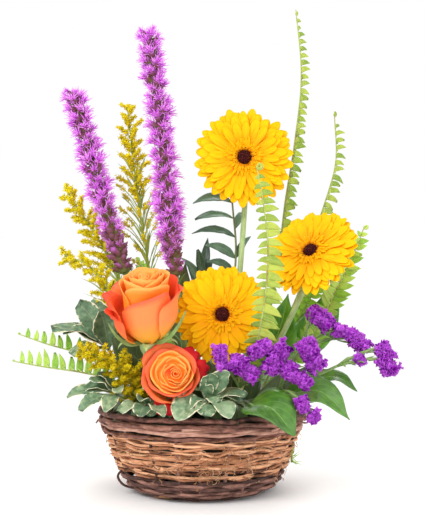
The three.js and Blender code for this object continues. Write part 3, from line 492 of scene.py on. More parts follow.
def velvet_eye():
    """The eye's closed florets: near-black maroon, matt as velvet, with a rusty fleck every 1.1 mm."""
    finish, tree, shader = new_finish("gerbera_eye_floret", Roughness=0.8, Specular_IOR_Level=0.15)
    patches = wire(tree, "TexNoise", {"Vector": wire(tree, "TexCoord", out="Object"), "Scale": 900.0})
    tree.links.new(wire(tree, "ValToRGB", {0: patches},
        stops=[(0.35, "#1e060a"), (0.58, "#4a1014"), (0.8, "#a0501c")]), shader.inputs["Base Color"])
    return finish


gerbera_ray, gerbera_eye = yellow_ray(), velvet_eye()
pale_stem = fresh_stem("fresh_pale_stem", "#7d9a58", "#b3cc8c")
mid_stem = fresh_stem("fresh_green_stem", "#4f7035", "#8aa860")
ray_kinds = [template(strap_ray(0.0515, wide, droop))
    for wide, droop in ((0.0122, 0.001), (0.0134, 0.002), (0.0116, 0.0))]
floret_kinds = [template(strap_ray(reach, wide, -0.001, start=start, across=2, along=4))
    for reach, wide, start in ((0.0215, 0.0023, 0.0085), (0.0175, 0.0018, 0.0082),
    (0.0135, 0.0014, 0.0078))]
bead = bmesh.new()
bmesh.ops.create_icosphere(bead, subdivisions=1, radius=0.0007)
bead = template(bead)
green_bract = template(sheet(3, 4, bract))
for name, centre, facing, open_to, turn, stalk in (
        ("top", (44, -15, 350), (0, -1, 0.05), (0, -1, 0.05), 0.1,
         [(18, 4, 40), (27, 4, 96), (40, 7, 230), (46, 10, 320)]),
        ("low", (21, -52, 190), (0, -1, 0.12), (0, -1, 0.12), 0.25,
         [(10, -18, 40), (14, -24, 96), (20, -28, 165)]),
        ("right", (113, -35, 252), (-0.4, -0.62, 0.68), (-0.37, -0.71, 0.6), 0.4,
         [(34, -8, 40), (50, -12, 96), (88, -22, 175), (112, -22, 226)])):
    rng = random.Random(name)
    head, fan = seat(centre, facing, turn), seat(centre, open_to, turn)
    rays = new_piece()
    for count, size, tilt, lift in ((27, 1.0, 0.0, 0.0), (26, 0.97, 0.025, 0.0008),
            (23, 0.88, 0.05, 0.0016), (20, 0.74, 0.075, 0.0024)):
        for i in range(count):
            angle = 2 * math.pi * (i + rng.uniform(-0.22, 0.22) + 0.5 * (size < 1)) / count
            place = spun(angle, tilt + rng.uniform(-0.02, 0.03), size * rng.uniform(0.9, 1.02),
                lift + 0.0006 * (i % 2))
            add(rays, rng.choice(ray_kinds),
                fan @ place @ Matrix.Rotation(rng.uniform(-0.14, 0.14), 4, "Y"))
    for kind, count, tilt, lift in ((0, 60, 0.02, 0.0032), (1, 58, 0.06, 0.0036), (2, 54, 0.12, 0.0038)):
        for i in range(count):
            angle = 2 * math.pi * (i + rng.uniform(-0.3, 0.3)) / count
            add(rays, floret_kinds[kind],
                fan @ spun(angle, tilt + rng.uniform(-0.06, 0.1), rng.uniform(0.88, 1.06), lift))
    finish_piece(rays, f"gerbera_{name}_petals", gerbera_ray, "gerbera_ray", f"gerbera_{name}_rays",
        thick=0.0004)
    eye = bmesh.new()
    for i in range(190):
        r, angle = 0.0072 * math.sqrt((i + 0.5) / 190), i * GOLDEN_ANGLE
        lift = 0.0078 - 0.0026 * (r / 0.0072) ** 2 + rng.uniform(0, 0.0004)
        add(eye, bead, head @ Matrix.Translation(polar(r, angle, lift))
            @ Matrix.Scale(rng.uniform(0.8, 1.25), 4))
    for i in range(60):
        r, angle = rng.uniform(0.0082, 0.0112), 2 * math.pi * i / 60 + rng.uniform(-0.05, 0.05)
        add(eye, bead, head @ Matrix.Translation(polar(r, angle, rng.uniform(0.0066, 0.008)))
            @ Matrix.Scale(0.62, 4))
    base = bmesh.new()
    bmesh.ops.create_uvsphere(base, u_segments=20, v_segments=10, radius=0.0075)
    bmesh.ops.scale(base, vec=(1, 1, 0.6), verts=base.verts)
    add(eye, base, head @ Matrix.Translation((0, 0, 0.003)))
    finish_piece(eye, f"gerbera_{name}_eye", gerbera_eye, "gerbera_disc", f"gerbera_{name}_disc")
    stem = new_piece()
    way = Vector(facing).normalized()
    stalk = smooth_line([*stalk, *(tuple(Vector(centre) - way * back) for back in (22, 14))])
    add(stem, rod(stalk, lambda v: 0.003 - 0.0003 * v, sides=10))
    cup = [Vector(centre) * MM - way * (0.016 - 0.0011 * i) for i in range(13)]
    add(stem, rod(cup, lambda v: 0.0034 + 0.0066 * v ** 0.6, sides=18))
    for i in range(34):
        add(stem, green_bract, head @ spun(i * GOLDEN_ANGLE, 0, 1.0 + 0.12 * (i % 2), -0.0018 * (i % 3)))
    finish_piece(stem, f"gerbera_{name}_stalk", pale_stem, "green_stem", f"gerbera_{name}_stem")


# The roses. A bloom is a tight coil of petals in wider and wider rounds, each petal's lip rolled
# out, on a green hip with five thin sepals. The coil is orange, the outer petals coral, and the
# outermost ones have a deep red edge.
def blade(line, half, outline, face, fold=0.2, wave=0.0, waves=4.0, across=6, along=10):
    """A leaf on its midrib: half its width, its outline, the way it faces, its fold and its wavy edge."""
    face = Vector(face).normalized()
    ribs = []
    for i in range(along + 1):
        point, way = station(line, i / along)
        side = way.cross(face).normalized()
        ribs.append((point, side, side.cross(way)))

    def place(u, v):
        point, side, up = ribs[round(v * along)]
        off = 2 * u - 1
        width = half * outline(v)
        ripple = math.sin(2 * math.pi * waves * v + 1.7 * (off > 0))
        edge = wave * off * off * ripple * min(1, width / half * 2)
        return point + side * off * width + up * (abs(off) * width * fold + edge)

    return sheet(across, along, place)


def rose_petal(turn, spread, radius, height, lip, foot=0.25, close=0.0, crinkle=0.0007, slant=0.0):
    """A cupped petal: where its middle is, how far it goes round, its size and its rolled-out lip."""
    def place(u, v):
        off = 2 * u - 1
        grown = 0.35 + 0.65 * min(1, v / 0.4) ** 0.7
        width = math.sqrt(max(0.0, 1 - (max(v - 0.6, 0) / 0.58) ** 2)) * grown
        angle = turn + off * spread * width
        roll = max(0.0, (v - 0.7) / 0.3)
        bulge = math.sin(math.pi / 2 * min(1, v / 0.55)) ** 0.8
        r = radius * (foot + (1 - foot) * bulge - close * max(0, v - 0.45))
        r += lip * roll ** 1.6 * (1 - 0.3 * off * off)
        r += 0.0016 * off + 0.0008 * math.sin(2 * angle + radius * 900)
        z = height * v ** 0.92 * (1 + slant * off)
        z -= height * 0.09 * abs(off) ** 2.5 * v + 0.5 * lip * roll ** 3
        ruffle = crinkle * v * v * v
        r += ruffle * math.sin(14 * u + 4 * turn)
        z += ruffle * math.sin(9 * u + 5 * turn)
        return polar(r, angle, z)

    return sheet(14, 12, place)


def rose_coil(radius, height, turns):
    """The closed heart: one petal rolled on itself."""
    def place(u, v):
        angle = u * turns * 2 * math.pi
        r = (0.0012 + (radius - 0.0012) * u) * (0.7 + 0.3 * math.sin(math.pi * min(1, v * 0.9)))
        r += 0.0006 * max(0, v - 0.8) / 0.2
        return polar(r, angle, height * (0.55 + 0.45 * v) * (1 - 0.05 * u))

    return sheet(48, 6, place)


def rose_skin(name, foot, middle, lip):
    """Rose petal: velvety skin of fine domed cells, soft to light, with faint veins.

    It goes from its foot colour through its middle colour to its lip colour. The outer and guard
    petals are yellower at the foot and deeper in colour at the lip; the heart's deep red-orange foot
    is painted shade between its petals, and its paler lip a painted highlight on the rolled rims. The
    cells are far too fine to show, so they are drawn at 0.7 mm.
    """
    finish, tree, shader = new_finish(name, Roughness=0.58, Specular_IOR_Level=0.2, Subsurface_Weight=0.3,
        Subsurface_Radius=(0.008, 0.003, 0.0008))
    u, v, drawn = part_map(tree)
    spot = wire(tree, "CombineXYZ", {0: wire(tree, "Math", {0: u, 1: 22.0}, operation="MULTIPLY"), 1: v,
        2: drawn})
    veins = wire(tree, "TexNoise", {"Vector": spot, "Scale": 2.4, "Detail": 3.0})
    tone = wire(tree, "Math", {0: v, 1: wire(tree, "Math", {0: veins, 1: 0.06}, operation="MULTIPLY")},
        operation="ADD")
    colour = wire(tree, "ValToRGB", {0: tone},
        stops=[(0.18, foot), (0.58, middle), (0.88, middle), (1.0, lip)])
    tree.links.new(colour, shader.inputs["Base Color"])
    cells = wire(tree, "TexNoise", {"Vector": wire(tree, "TexCoord", out="Object"), "Scale": 1400.0})
    height = wire(tree, "Math", {0: veins,
        1: wire(tree, "Math", {0: cells, 1: 0.25}, operation="MULTIPLY")}, operation="ADD")
    tree.links.new(wire(tree, "Bump", {"Height": height, "Strength": 0.3, "Distance": 0.0005}),
        shader.inputs["Normal"])
    return finish


# The heart's deep red-orange foot colour is painted shade deep between its petals, and its pale lip colour
# a painted highlight on the rolled rims.
rose_heart_painted_shade_and_highlight = rose_skin("rose_heart_petal", "#e84a12", "#ff9630", "#ffae58")
rose_outer = rose_skin("rose_outer_petal", "#ffb43c", "#ff9052", "#fc6848")
rose_crimson = rose_skin("rose_crimson_petal", "#f4582c", "#e4282a", "#cc162c")
rose_red = rose_skin("rose_guard_petal", "#ff9c3c", "#fb6c3e", "#ee4a2e")
for name, base, facing, turn, height, stalk, rounds, guards in (
        ("upright", (-53, -76, 164), (-0.06, -0.34, 1), 0.5, 0.073,
         [(-30, -38, 40), (-40, -52, 96), (-48, -66, 136)],
         [(2, 0.0102, 1.03, 0.0018), (3, 0.0128, 1.05, 0.0024), (3, 0.0158, 1.045, 0.003),
          (3, 0.0188, 1.03, 0.0036), (3, 0.0218, 1.0, 0.004)],
         [(-1.62, 1.3, 0.0262, 0.8, 0.002, 0, 0.16, 0.0003),
          (-0.15, 0.95, 0.0315, 0.84, 0.006, 0, 0.0, 0.0012),
          (0.7, 0.9, 0.0305, 0.89, 0.006, 1, 0.0, 0.001),
          (3.05, 0.85, 0.0315, 0.8, 0.0095, 1, 0.0, 0.0013),
          (-2.75, 0.6, 0.0335, 0.64, 0.008, 1, 0.0, 0.0014),
          (1.9, 1.0, 0.031, 0.86, 0.008, 0, 0.0, 0.001)]),
        ("front", (-31, -68, 123), (0.02, -0.9, 0.44), 0.2, 0.043, [(-16, -34, 40), (-22, -42, 96)],
         [(3, 0.0088, 1.0, 0.002), (3, 0.0112, 1.02, 0.0028), (3, 0.0142, 1.0, 0.0036),
          (3, 0.0178, 0.97, 0.0044), (3, 0.0212, 0.9, 0.006)],
         [(0.85, 0.42, 0.027, 0.44, 0.011, 1, 0.0, 0.0014), (0.3, 0.36, 0.028, 0.42, 0.011, 1, 0.0, 0.0014),
          (1.9, 1.1, 0.0245, 0.82, 0.007, 0, 0.0, 0.0006),
          (-1.45, 0.75, 0.028, 0.5, 0.014, 1, 0.0, 0.0018),
          (-2.6, 1.1, 0.0255, 0.74, 0.006, 0, 0.0, 0.0006),
          (-0.5, 1.0, 0.0245, 0.72, 0.004, 0, 0.0, 0.0006)])):
    rng = random.Random(name)
    place = seat(base, facing)
    heart, outer, red = new_piece(), new_piece(), new_piece()
    lean = Vector((0.005, -0.004, 0)) if name == "front" else Vector((0, 0, 0))
    add(heart, rose_coil(0.0072, height * (0.98 if name == "front" else 1.03), 2.4),
        place @ Matrix.Translation(lean))
    add(heart, sheet(18, 6, lambda u, v: polar(0.0205 * v, 2 * math.pi * u,
        height * (0.87 - 0.14 * v * v))), place)
    for rank, (count, radius, share, lip) in enumerate(rounds):
        for i in range(count):
            angle = turn + 2 * math.pi * (i + 0.5 * (rank % 2) + rng.uniform(-0.14, 0.14)) / count
            petal = rose_petal(angle, math.pi / count * 1.5, radius * rng.uniform(0.95, 1.05),
                height * share * rng.uniform(0.96, 1.02), lip, close=rng.uniform(0.06, 0.2),
                slant=rng.uniform(-0.03, 0.03))
            add(heart if rank < 4 or name == "upright" else outer, petal,
                place @ Matrix.Translation(lean * (4 - rank) / 4))
    for angle, spread, radius, share, lip, deep, slant, crinkle in guards:
        add(red if deep else outer, rose_petal(angle, spread, radius, height * share, lip, foot=0.2,
            slant=slant, crinkle=crinkle), place)
    finish_piece(heart, f"rose_{name}_heart", rose_heart_painted_shade_and_highlight, "rose_petal", f"rose_{name}_bloom", thick=0.0005)
    finish_piece(outer, f"rose_{name}_outer_petals", rose_outer, "rose_petal", f"rose_{name}_bloom",
        thick=0.0006)
    finish_piece(red, f"rose_{name}_guard_petals", rose_red if name == "upright" else rose_crimson,
        "rose_petal", f"rose_{name}_bloom", thick=0.0006)
    stem = new_piece()
    way = (place.to_3x3() @ Vector((0, 0, 1))).normalized()
    stalk = smooth_line([*stalk, *(tuple(Vector(base) - way * back) for back in (18, 9))])
    neck = 0.0032 if name == "upright" else 0.0
    add(stem, rod(stalk, lambda v: 0.0034 + neck * min(1, max(0, v - 0.55) / 0.2), sides=12))
    hip = [Vector(base) * MM + way * (-0.012 + 0.0014 * i) for i in range(12)]
    add(stem, rod(hip, lambda v: 0.0034 + neck
        + (0.0048 - neck * 0.6) * math.sin(math.pi * min(v * 0.8, 0.62)), sides=14))
    for i in range(5):
        def sepal(u, v, curl=rng.uniform(-0.4, 0.7)):
            off, reach = 2 * u - 1, 0.006 + 0.026 * math.sin(v * (1.4 + 0.3 * curl))
            return Vector((off * 0.0042 * (1 - v) ** 0.7, reach,
                0.002 + 0.016 * v * (1 - v * (1.1 + curl)) + 0.001 * off * off))
        add(stem, sheet(4, 8, sepal), place @ Matrix.Rotation(2 * math.pi * i / 5 + 0.6, 4, "Z"))
    finish_piece(stem, f"rose_{name}_stalk", pale_stem, "green_stem", f"rose_{name}_stem")
    if name == "upright":
        sepals = new_piece()
        for line in ([(-57, -80, 165), (-72, -92, 164), (-84, -96, 173), (-93, -96, 187)],
                [(-48, -84, 165), (-36, -96, 168), (-24, -100, 181), (-14, -99, 200)]):
            add(sepals, blade(smooth_line(line), 0.003,
                lambda v: max(0.05, 1 - v) ** 0.6 * min(1, 0.5 + 3 * v), (0, -0.9, 0.5), fold=0.3, across=4,
                along=12))
        finish_piece(sepals, "rose_upright_long_sepals", mid_stem, "green_stem", "rose_upright_stem",
            thick=0.0005)


# The liatris. A stiff stem ends in a dense spike of small heads, each a bud of dark scales with a
# tuft of thread-like styles. The lowest heads are still closed. Grassy leaves stand off the stem.
def floret_colour(name, stops, scale, tip=0.3, rim=False):
    """Thin papery florets, nearly matt: each has its own shade, which lightens to the tip or the rim."""
    finish, tree, shader = new_finish(name, Roughness=0.65, Specular_IOR_Level=0.12)
    _, v, drawn = part_map(tree)
    patches = wire(tree, "TexNoise",
        {"Vector": wire(tree, "TexCoord", out="Object"), "Scale": scale, "Detail": 2.0})
    tone = wire(tree, "Math", {0: wire(tree, "Math", {0: drawn, 1: 0.35}, operation="MULTIPLY"),
        1: wire(tree, "Math", {0: patches, 1: 0.45}, operation="MULTIPLY")}, operation="ADD")
    if rim:
        v = wire(tree, "Math", {0: v, 1: 1.0}, operation="PINGPONG")
        v = wire(tree, "Math", {0: wire(tree, "Math", {0: v, 1: 2.0}, operation="MULTIPLY"), 1: 1.0},
            operation="PINGPONG")
    tone = wire(tree, "Math", {0: tone, 1: wire(tree, "Math", {0: v, 1: tip}, operation="MULTIPLY")},
        operation="ADD")
    tree.links.new(wire(tree, "ValToRGB", {0: tone}, stops=stops), shader.inputs["Base Color"])
    return finish


liatris_style = floret_colour("liatris_style", [(0.26, "#a02cb2"), (0.47, "#e062ee"), (0.8, "#faacfa")],
    300.0)
liatris_bud = floret_colour("liatris_bud_scale",
    [(0.34, "#66783e"), (0.54, "#6e4a3c"), (0.8, "#86506a"), (1.0, "#b864b8")], 700.0, tip=0.5)
rng = random.Random(3)
tufts = []
for _ in range(5):
    tuft = new_piece()
    for i in range(26):
        swing, out, curl = i * GOLDEN_ANGLE, rng.uniform(0.1, 1.0), rng.uniform(-0.9, 0.9)
        length = rng.uniform(0.005, 0.008)
        strand = []
        for t in (0, 0.5, 1):
            r = length * t * math.sin(out * (0.55 + 0.6 * t))
            strand.append(polar(r, swing + curl * t, 0.003 + length * t * math.cos(out * 0.75)))
        add(tuft, rod(strand, lambda v: 0.00056 - 0.0004 * v, sides=3))
    tufts.append(template(tuft))
bud = template(rod([Vector((0, 0, 0.0012 * k + (0.0007 if k % 2 else 0))) for k in range(8)],
    lambda v: (0.0003 + 0.002 * math.sin(math.pi * min(1, 0.15 + 0.85 * v)) ** 0.8)
    * (1.14 if round(v * 7) % 2 else 0.86), sides=6))


def spoke(way, angle):
    """The direction that stands square off a stem at an angle round it."""
    a = way.orthogonal().normalized()
    return a * math.cos(angle) + way.cross(a) * math.sin(angle)


def outward(point, way, angle, rise):
    """The place of a head that leans out from its stem at an angle round it, rising by a share."""
    out = spoke(way, angle)
    z = (out + way * rise).normalized()
    x = z.orthogonal().normalized()
    return Matrix.Translation(point) @ Matrix((x, z.cross(x), z)).transposed().to_4x4()


for name, stalk, spike, heads, closed in (
        ("right", [(-8, -2, 40), (-12, -3, 96), (-20, -4, 160), (-27, -5, 226)],
         [(-27, -5, 226), (-33, 0, 274), (-38, 3, 326), (-43, 5, 379), (-50, 5, 436), (-56, 5, 480)], 121,
         0.02),
        ("left", [(-28, 2, 40), (-41, 1, 96), (-60, 0, 160), (-81, 0, 229)],
         [(-81, 0, 229), (-95, 4, 274), (-110, 8, 326), (-124, 10, 379), (-136, 10, 417)], 94, 0.13)):
    rng = random.Random(name)
    line = smooth_line(spike)
    threads, buds, stem = new_piece(), new_piece(), new_piece()
    for i in range(heads):
        share = ((i + 0.5) / heads) ** 1.12
        point, way = station(line, share)
        if share < 0.6:
            out = outward(point, way, i * GOLDEN_ANGLE + 1.2, 1.0).to_3x3() @ Vector((0, 0, 1))
            add(stem, blade([point, point + out * 0.007,
                point + out * 0.012 + way * rng.uniform(0.0, 0.004)], 0.0009,
                lambda v: max(0.05, 1 - v) ** 0.5, way, across=2, along=3))
        place = outward(point, way, i * GOLDEN_ANGLE + rng.uniform(-0.25, 0.25),
            0.55 + 0.3 * share + rng.uniform(-0.15, 0.15))
        size = (1.45 - 0.12 * share) * (1 + 0.35 * noise.noise((share * 13, heads, 0)))
        size *= rng.uniform(0.88, 1.12) * min(1, 0.55 + (1 - share) * 9)
        opened = min(1, max(0, (share - closed + rng.uniform(-0.09, 0.09)) / 0.16))
        add(buds, bud, place @ Matrix.Translation((0, 0, 0.0016)) @ Matrix.Scale(size, 4))
        if opened < 0.5:
            more = outward(station(line, share + 0.008)[0], way, i * GOLDEN_ANGLE + 1.1, 0.8)
            add(buds, bud, more @ Matrix.Translation((0, 0, 0.001)) @ Matrix.Scale(size * 0.9, 4))
        if opened > 0.15:
            for lift, grown in ((0.0042, 1), (0.0018, 0.85)):
                tuft = rng.choice(tufts)
                turned = place @ Matrix.Rotation(any_angle(rng), 4, "Z") @ Matrix.Translation((0, 0, lift))
                add(threads, tuft, turned @ Matrix.Scale(size * grown * (0.4 + 0.6 * opened), 4))
    finish_piece(threads, f"liatris_{name}_threads", liatris_style, "liatris_floret",
        f"liatris_{name}_spike")
    add(stem, rod(smooth_line(stalk), lambda v: 0.0032 - 0.0004 * v, sides=9))
    add(buds, rod(line, lambda v: 0.0056 - 0.0026 * v, sides=8))
    finish_piece(buds, f"liatris_{name}_buds", liatris_bud, "liatris_floret", f"liatris_{name}_spike")
    for i in range(16):
        point, way = station(smooth_line(stalk), 0.4 + 0.58 * i / 16)
        angle, reach = i * GOLDEN_ANGLE, rng.uniform(0.02, 0.032)
        out = spoke(way, angle)
        add(stem, blade([point, point + out * reach * 0.5 + way * reach * 0.45,
            point + out * reach * 0.95 + way * reach * 0.65], 0.0016, lambda v: max(0.03, 1 - v) ** 0.5,
            way, fold=0.3, across=2, along=6))
    finish_piece(stem, f"liatris_{name}_stalk", mid_stem, "green_stem", f"liatris_{name}_stem")


# The goldenrod. A leafy wand carries curved side branchlets, and each of those a crowd of tiny gold
# heads on its upper side, some open and some still in bud.
goldenrod_head = floret_colour("goldenrod_floret",
    [(0.25, "#84900a"), (0.42, "#d6c208"), (0.75, "#fbe824")], 420.0)
goldenrod_deep = floret_colour("goldenrod_floret_in_shade",
    [(0.25, "#66760a"), (0.44, "#bca606"), (0.78, "#f4dc20")], 420.0)
goldenrod_stem = fresh_stem("goldenrod_stem", "#7f9638", "#b4c45c")
rng = random.Random(5)
golds = []
for kind in range(3):
    head = new_piece()
    add(head, rod([Vector((0, 0, 0.0009 * k)) for k in range(3)],
        lambda v: 0.0004 + 0.0007 * math.sin(2.6 * v), sides=4))
    for i in range(4 if kind else 3):
        angle, lean = i * GOLDEN_ANGLE, rng.uniform(0.4, 1.2)
        way = polar(math.sin(lean), angle, math.cos(lean))
        add(head, rod([Vector((0, 0, 0.0012)), Vector((0, 0, 0.0012)) + way * 0.0024],
            lambda v: 0.00022 + 0.0003 * v, sides=3))
    golds.append(template(head))

for name, path, bare, dense, reach, branches, crowd, leaves in (
        ("back", [(-22, 18, 40), (-30, 22, 96), (-52, 28, 199), (-60, 32, 250), (-69, 34, 305),
         (-75, 34, 358), (-80, 34, 404)], 0.48, 0.72, 0.034, 52, 84, 54),
        ("left", [(-38, 20, 40), (-52, 24, 96), (-86, 24, 210), (-108, 24, 258), (-128, 22, 290),
         (-144, 20, 314)], 0.54, 0.66, 0.031, 38, 100, 24),
        ("low_left", [(-40, -6, 40), (-56, -8, 96), (-84, -12, 170), (-105, -12, 222), (-124, -10, 240),
         (-144, -8, 247)], 0.56, 0.66, 0.027, 28, 100, 18),
        ("front", [(-50, -32, 45), (-62, -42, 92), (-76, -66, 129), (-97, -84, 149), (-118, -88, 158)], 0.3,
         0.3, 0.031, 48, 92, 24)):
    rng = random.Random(name)
    line = smooth_line(path)
    heads, stem = new_piece(), new_piece()
    add(stem, rod(line, lambda v: 0.0018 - 0.0012 * v, sides=7))
    for i in range(branches):
        share = bare + (0.995 - bare) * (i + 0.5) / branches
        point, way = station(line, share)
        angle = i * GOLDEN_ANGLE + rng.uniform(-0.3, 0.3)
        out = spoke(way, angle)
        size = reach * (1 - 0.62 * ((share - bare) / (1 - bare)) ** 1.5) * rng.uniform(0.6, 1.05)
        rise = 1.5 if share < dense else 1.0
        twig = [point, point + out * size * 0.22 + way * size * 0.34 * rise,
            point + out * size * 0.5 + way * size * 0.62 * rise,
            point + out * size * 0.8 + way * size * 0.78 * rise]
        add(stem, rod(twig, lambda v: 0.0006 - 0.0002 * v, sides=4))
        count = int(size / 0.036 * crowd * (0.22 if share < dense else 1)) + 4
        first = 0.7 if share < dense else 0.22
        for k in range(count):
            t = first + (1 - first) * (k + rng.random()) / count
            spot, along = station(twig, t)
            wide = 0.0022 * (1.1 - 0.6 * t)
            place = outward(spot + Vector([rng.uniform(-1, 1) * wide for _ in range(3)]), along,
                any_angle(rng), rng.uniform(0.1, 1.4))
            add(heads, rng.choice(golds), place @ Matrix.Scale(rng.uniform(0.6, 1.05), 4))
    for i in range(leaves):
        share = 0.3 + (dense + 0.08 - 0.3) * i / leaves
        point, way = station(line, share)
        angle, size = i * GOLDEN_ANGLE, rng.uniform(0.018, 0.038)
        out = spoke(way, angle)
        add(stem, blade([point, point + out * size * 0.35 + way * size * 0.6,
            point + out * size * 0.75 + way * size * 0.95], 0.0014,
            lambda v: math.sin(math.pi * (0.08 + 0.9 * v)) ** 0.7, way, across=2, along=6))
    finish_piece(heads, f"goldenrod_{name}_heads", goldenrod_deep if name == "front" else goldenrod_head,
        "goldenrod_spray", f"goldenrod_{name}")
    finish_piece(stem, f"goldenrod_{name}_twigs", goldenrod_stem, "goldenrod_spray", f"goldenrod_{name}")


# The statice. Winged green stems fork into flat combs of papery calyces, which keep their violet
# colour when dry. Each is a small pleated funnel with a frilled rim.
def frill(phase):
    """One calyx. The phase says where its pleats begin."""
    def place(u, v):
        turn, rim = 2 * math.pi * u, 1 - abs(2 * v - 1)
        r = 0.0042 * rim ** 1.3 * (1 + 0.32 * math.cos(4 * turn + phase))
        height = (0.0058 if v < 0.6 else 0.002) * min(1, 1.6 * v)
        height += 0.0018 * rim * math.sin(3 * turn + phase)
        return polar(r, turn, height)

    part = sheet(10, 2, place)
    bmesh.ops.remove_doubles(part, verts=part.verts, dist=SAME_POINT)
    return part


statice_paper = floret_colour("statice_calyx_paper",
    [(0.32, "#42005a"), (0.58, "#9010ae"), (0.86, "#d464ee")], 220.0, tip=0.45, rim=True)
rng = random.Random(8)
frills = [template(frill(rng.uniform(0, 6))) for _ in range(4)]

for name, stalk, clusters in (
        ("right", [(40, -22, 45), (60, -34, 96), (98, -50, 118), (138, -57, 138)],
         [((181, -60, 158), (189, -60, 149), 9.5), ((183, -61, 146), (190, -62, 135), 10),
          ((158, -60, 148), (162, -61, 143), 4.5)]),
        ("upper", [(44, -8, 45), (58, -16, 96), (84, -30, 134), (104, -40, 156)],
         [((113, -45, 193), (127, -46, 180), 9.5), ((137, -50, 174), (154, -50, 170), 8),
          ((154, -50, 166), (165, -51, 158), 9)]),
        ("low", [(36, -40, 45), (52, -56, 92), (78, -72, 116)],
         [((102, -86, 165), (113, -90, 145), 11), ((84, -90, 139), (104, -94, 126), 8.5),
          ((97, -104, 111), (101, -105, 104), 7.5), ((109, -106, 97), (112, -106, 93), 6.5)]),
        ("middle", [(18, -46, 45), (25, -62, 92), (38, -82, 120)],
         [((67, -92, 139), (80, -84, 157), 10.5), ((52, -98, 134), (35, -98, 146), 10.5),
          ((22, -100, 142), (18, -98, 158), 7), ((50, -92, 155), (64, -88, 161), 8)])):
    rng = random.Random(name)
    petals, stem = new_piece(), new_piece()
    line = smooth_line(stalk)
    add(stem, rod(line, lambda v: 0.0022 - 0.0006 * v, sides=6))
    end = line[-1]
    for start, stop, wide in clusters:
        start, stop, wide = Vector(start) * MM, Vector(stop) * MM, wide * MM
        add(stem, rod([end, end.lerp(start, 0.5) + Vector((0, 0, 0.003)), start, stop], lambda v: 0.0015,
            sides=5))
        for k in range(3):
            lean = end.lerp(start, 0.25 + 0.22 * k)
            away = Vector((rng.uniform(-0.3, 1), rng.uniform(-1, 0.2),
                rng.uniform(-0.5, 0.6))).normalized() * rng.uniform(0.008, 0.014)
            add(stem, blade([lean, lean + away * 0.5 + (start - end) * 0.1,
                lean + away + (start - end) * 0.2], 0.0016,
                lambda v: max(0.05, math.sin(math.pi * (0.1 + 0.88 * v))), (0, -0.6, 0.8), across=2,
                along=5))
        core = [start + (start - stop).normalized() * wide * 0.35, start.lerp(stop, 0.33),
            start.lerp(stop, 0.67), stop + (stop - start).normalized() * wide * 0.35]
        add(petals, rod(core, lambda v: wide * (0.12 + 0.32 * math.sin(math.pi * min(1, max(0, v)))),
            sides=8))
        count = int(((stop - start).length + wide) / 0.000075)
        for i in range(count):
            t = rng.uniform(-0.12, 1.12)
            way = (stop - start).normalized()
            spot = start.lerp(stop, t)
            angle = any_angle(rng)
            place = outward(spot, way, angle, rng.uniform(-0.1, 0.8))
            reach = wide * (0.8 + 0.85 * noise.noise((110 * spot.x, 110 * spot.z, 1.5 * angle)))
            reach *= rng.uniform(0.6, 1.05)
            add(petals, rng.choice(frills), place @ Matrix.Translation((0, 0, max(0, reach - 0.004)))
                @ Matrix.Scale(rng.uniform(0.5, 0.9), 4))
    finish_piece(petals, f"statice_{name}_calyces", statice_paper, "statice_calyx", f"statice_{name}")
    finish_piece(stem, f"statice_{name}_stems", mid_stem, "statice_calyx", f"statice_{name}")


# The sword ferns. Young fronds, still curled at the tip: a hairy brown rib with a row of thin
# leaflets on each side, which fold up on the youngest.
def leaf_skin(name, dark, light, vein, roughness, pairs, coat=0.0, bump=0.4, vary=0.5, glow=0.0):
    """A leaf's skin: glossy cuticle over a mottled green, with a pale midrib and slanting side veins.

    The mottle's patches are 9 mm. A thin young leaf lets some light through, as its glow says.
    """
    finish, tree, shader = new_finish(name, Roughness=roughness, Coat_Weight=coat, Coat_Roughness=0.25,
        Subsurface_Weight=glow, Subsurface_Radius=(0.03, 0.05, 0.01))
    u, v, drawn = part_map(tree)
    off = wire(tree, "Math", {0: wire(tree, "Math", {0: u, 1: 0.5}, operation="SUBTRACT")},
        operation="ABSOLUTE")
    lines = wire(tree, "Math", {0: wire(tree, "Math", {0: v, 1: off}, operation="SUBTRACT"),
        1: pairs * 2 * math.pi}, operation="MULTIPLY")
    lines = wire(tree, "Math", {0: wire(tree, "Math", {0: lines}, operation="SINE"), 1: 0.9},
        operation="GREATER_THAN")
    rib = wire(tree, "MapRange", {"Value": off, "From Min": 0.004, "From Max": 0.018, "To Min": 0.8,
        "To Max": 0.0})
    veins = wire(tree, "Math", {0: rib, 1: wire(tree, "Math", {0: lines, 1: 0.22}, operation="MULTIPLY")},
        operation="MAXIMUM")
    patches = wire(tree, "TexNoise",
        {"Vector": wire(tree, "TexCoord", out="Object"), "Scale": 110.0, "Detail": 4.0})
    tone = wire(tree, "Math", {0: wire(tree, "Math", {0: patches, 1: 0.7}, operation="MULTIPLY"),
        1: wire(tree, "Math", {0: drawn, 1: vary, 2: 0.25 - 0.5 * vary}, operation="MULTIPLY_ADD")},
        operation="ADD")
    green = wire(tree, "ValToRGB", {0: tone}, stops=[(0.35, dark), (0.8, light)])
    colour = wire(tree, "Mix", {"Factor": veins, "A": green, "B": linear(vein)}, out=2, data_type="RGBA")
    tree.links.new(colour, shader.inputs["Base Color"])
    tree.links.new(wire(tree, "Bump", {"Height": veins, "Strength": bump, "Distance": 0.0006}),
        shader.inputs["Normal"])
    return finish


def leaflet_outline(v):
    """A leaflet is broad from its foot on and ends in a blunt tip."""
    if v > 0.99:
        return 0.06
    return 0.9 if v < 0.12 else 1.12 * math.sin(math.pi * (0.36 + 0.62 * v))


fern_skin = leaf_skin("fern_leaflet_skin", "#7c9630", "#b2c04c", "#ccd67c", 0.55, 9, glow=0.3)
